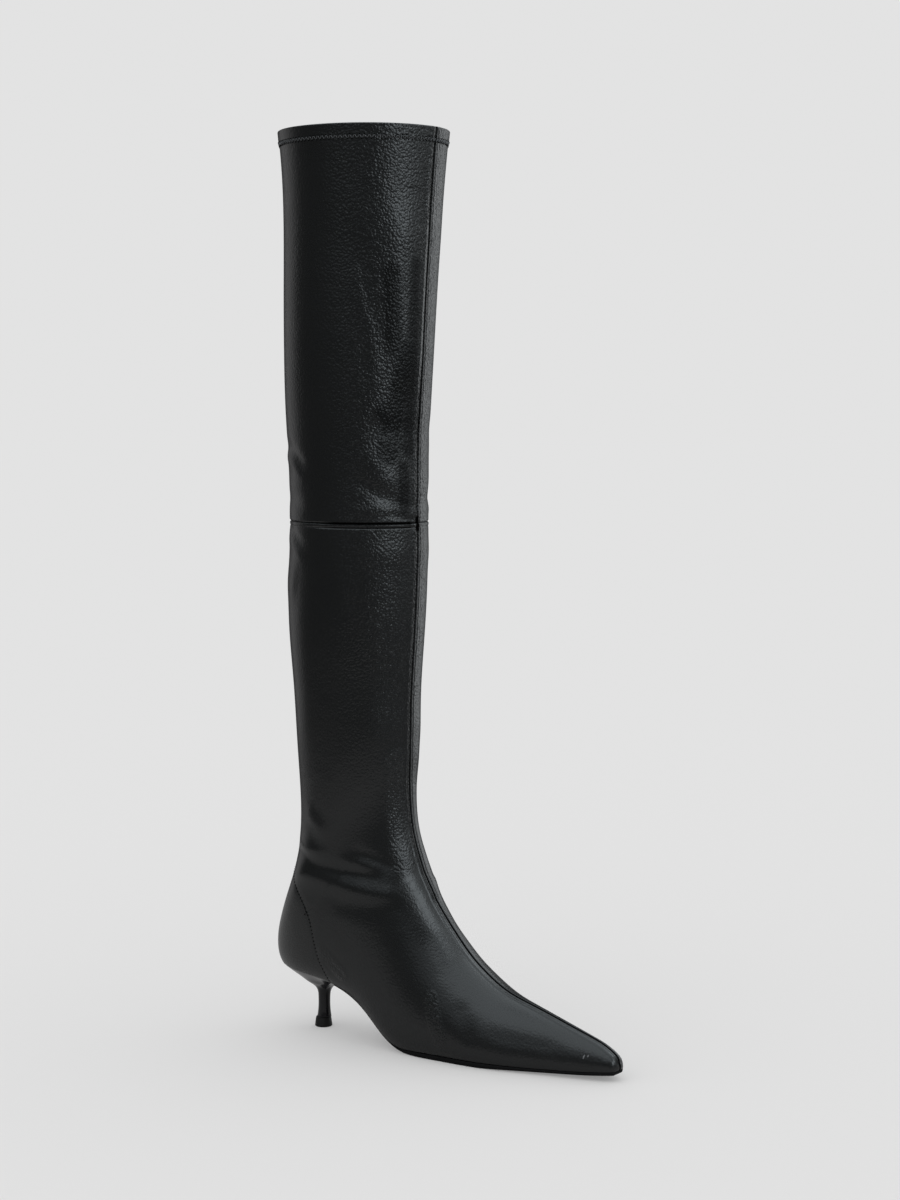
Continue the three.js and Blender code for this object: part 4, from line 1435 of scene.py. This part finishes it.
class BOOT_OT_stage(PieceOperator, bpy.types.Operator):
    """Pale floor, soft lights and the camera"""

    bl_idname = "boot.stage"
    bl_label = "Stage"

    def make(self, context, sizes, colours):
        scene = context.scene
        lit = bpy.data.collections.new("Lit_Pieces")
        for piece in bpy.data.objects:
            if piece.type == "MESH":
                lit.objects.link(piece)
        self.floor(colours)
        self.air(scene, colours)
        self.lights(scene, lit)
        self.camera(scene)
        scene.view_settings.view_transform = "Standard"
        scene.view_settings.look = "None"

    def floor(self, colours):
        """A round floor that takes the boot's shadow, and a wide ring beyond it, unseen in reflections."""
        paint = floor_paint(colours)
        bm = bmesh.new()
        bmesh.ops.create_circle(bm, cap_ends=True, segments=96, radius=FLOOR_RADIUS)
        floor = new_object("Floor", bm, paint)
        bm = bmesh.new()
        for radius in (FLOOR_RADIUS, BACKDROP_RADIUS):
            bmesh.ops.create_circle(bm, segments=96, radius=radius)
        bmesh.ops.bridge_loops(bm, edges=bm.edges[:])
        backdrop = new_object("Backdrop", bm, paint)
        backdrop.visible_glossy = False

    def air(self, scene, colours):
        """Soft light all round: dark in reflections, and pale behind the boot."""
        world = bpy.data.worlds.new("Studio_Air")
        world.use_nodes = True
        tree = world.node_tree
        background = tree.nodes["Background"]
        background.inputs["Color"].default_value = tuple(colours.air)
        paths = tree.nodes.new("ShaderNodeLightPath")
        glossy, seen = (Value(tree, paths.outputs[f"Is {ray} Ray"]) for ray in ("Glossy", "Camera"))
        strength = AIR_DIFFUSE + glossy * (AIR_GLOSSY - AIR_DIFFUSE) + seen * (1 - AIR_DIFFUSE)
        feed(tree, background.inputs["Strength"], strength)
        scene.world = world

    def lights(self, scene, lit):
        """Soft boxes that light the boot alone."""
        for name, place, aim, width, height, power, tint in LIGHTS:
            data = bpy.data.lights.new(name, "AREA")
            data.shape, data.size, data.size_y = "RECTANGLE", width, height
            data.energy, data.color = power, tint
            light = bpy.data.objects.new(name, data)
            light.location = place
            light.rotation_euler = (Vector(aim) - Vector(place)).to_track_quat("-Z", "Y").to_euler()
            scene.collection.objects.link(light)
            light.light_linking.receiver_collection = lit

    def camera(self, scene):
        """The camera of the photo."""
        data = bpy.data.cameras.new("Camera")
        data.lens, data.sensor_width = CAMERA_LENS, SENSOR_WIDTH
        camera = bpy.data.objects.new("Camera", data)
        azimuth, pitch, roll = (math.radians(a) for a in (CAMERA_AZIMUTH, CAMERA_PITCH, CAMERA_ROLL))
        aim = Matrix.Rotation(azimuth, 4, "Z") @ Matrix.Rotation(QUARTER - pitch, 4, "X")
        camera.matrix_world = Matrix.Translation(CAMERA_PLACE) @ aim @ Matrix.Rotation(roll, 4, "Z")
        scene.collection.objects.link(camera)
        scene.camera = camera


PIECES = (
    BOOT_OT_upper,
    BOOT_OT_thigh_shaft,
    BOOT_OT_counter,
    BOOT_OT_sole,
    BOOT_OT_heel,
    BOOT_OT_stitching,
)


class BOOT_PT_panel(bpy.types.Panel):
    """Boot pieces and their sizes"""

    bl_idname = "BOOT_PT_panel"
    bl_label = "Thigh High Boot"
    bl_space_type = "VIEW_3D"
    bl_region_type = "UI"
    bl_category = "Boot"

    def draw(self, context):
        for group in (context.scene.boot_sizes, context.scene.boot_colours):
            box = self.layout.box()
            for name in group.__annotations__:
                box.prop(group, name)
        for operator in (*PIECES, BOOT_OT_stage):
            self.layout.operator(operator.bl_idname)


CLASSES = (BootSizes, BootColours, *PIECES, BOOT_OT_stage, BOOT_PT_panel)


def register():
    for item in CLASSES:
        bpy.utils.register_class(item)
    bpy.types.Scene.boot_sizes = bpy.props.PointerProperty(type=BootSizes)
    bpy.types.Scene.boot_colours = bpy.props.PointerProperty(type=BootColours)


def unregister():
    del bpy.types.Scene.boot_colours
    del bpy.types.Scene.boot_sizes
    for item in reversed(CLASSES):
        bpy.utils.unregister_class(item)


def main():
    register()
    for operator in (*PIECES, BOOT_OT_stage):
        group, name = operator.bl_idname.split(".")
        getattr(getattr(bpy.ops, group), name)()


if __name__ == "__main__":
    main()
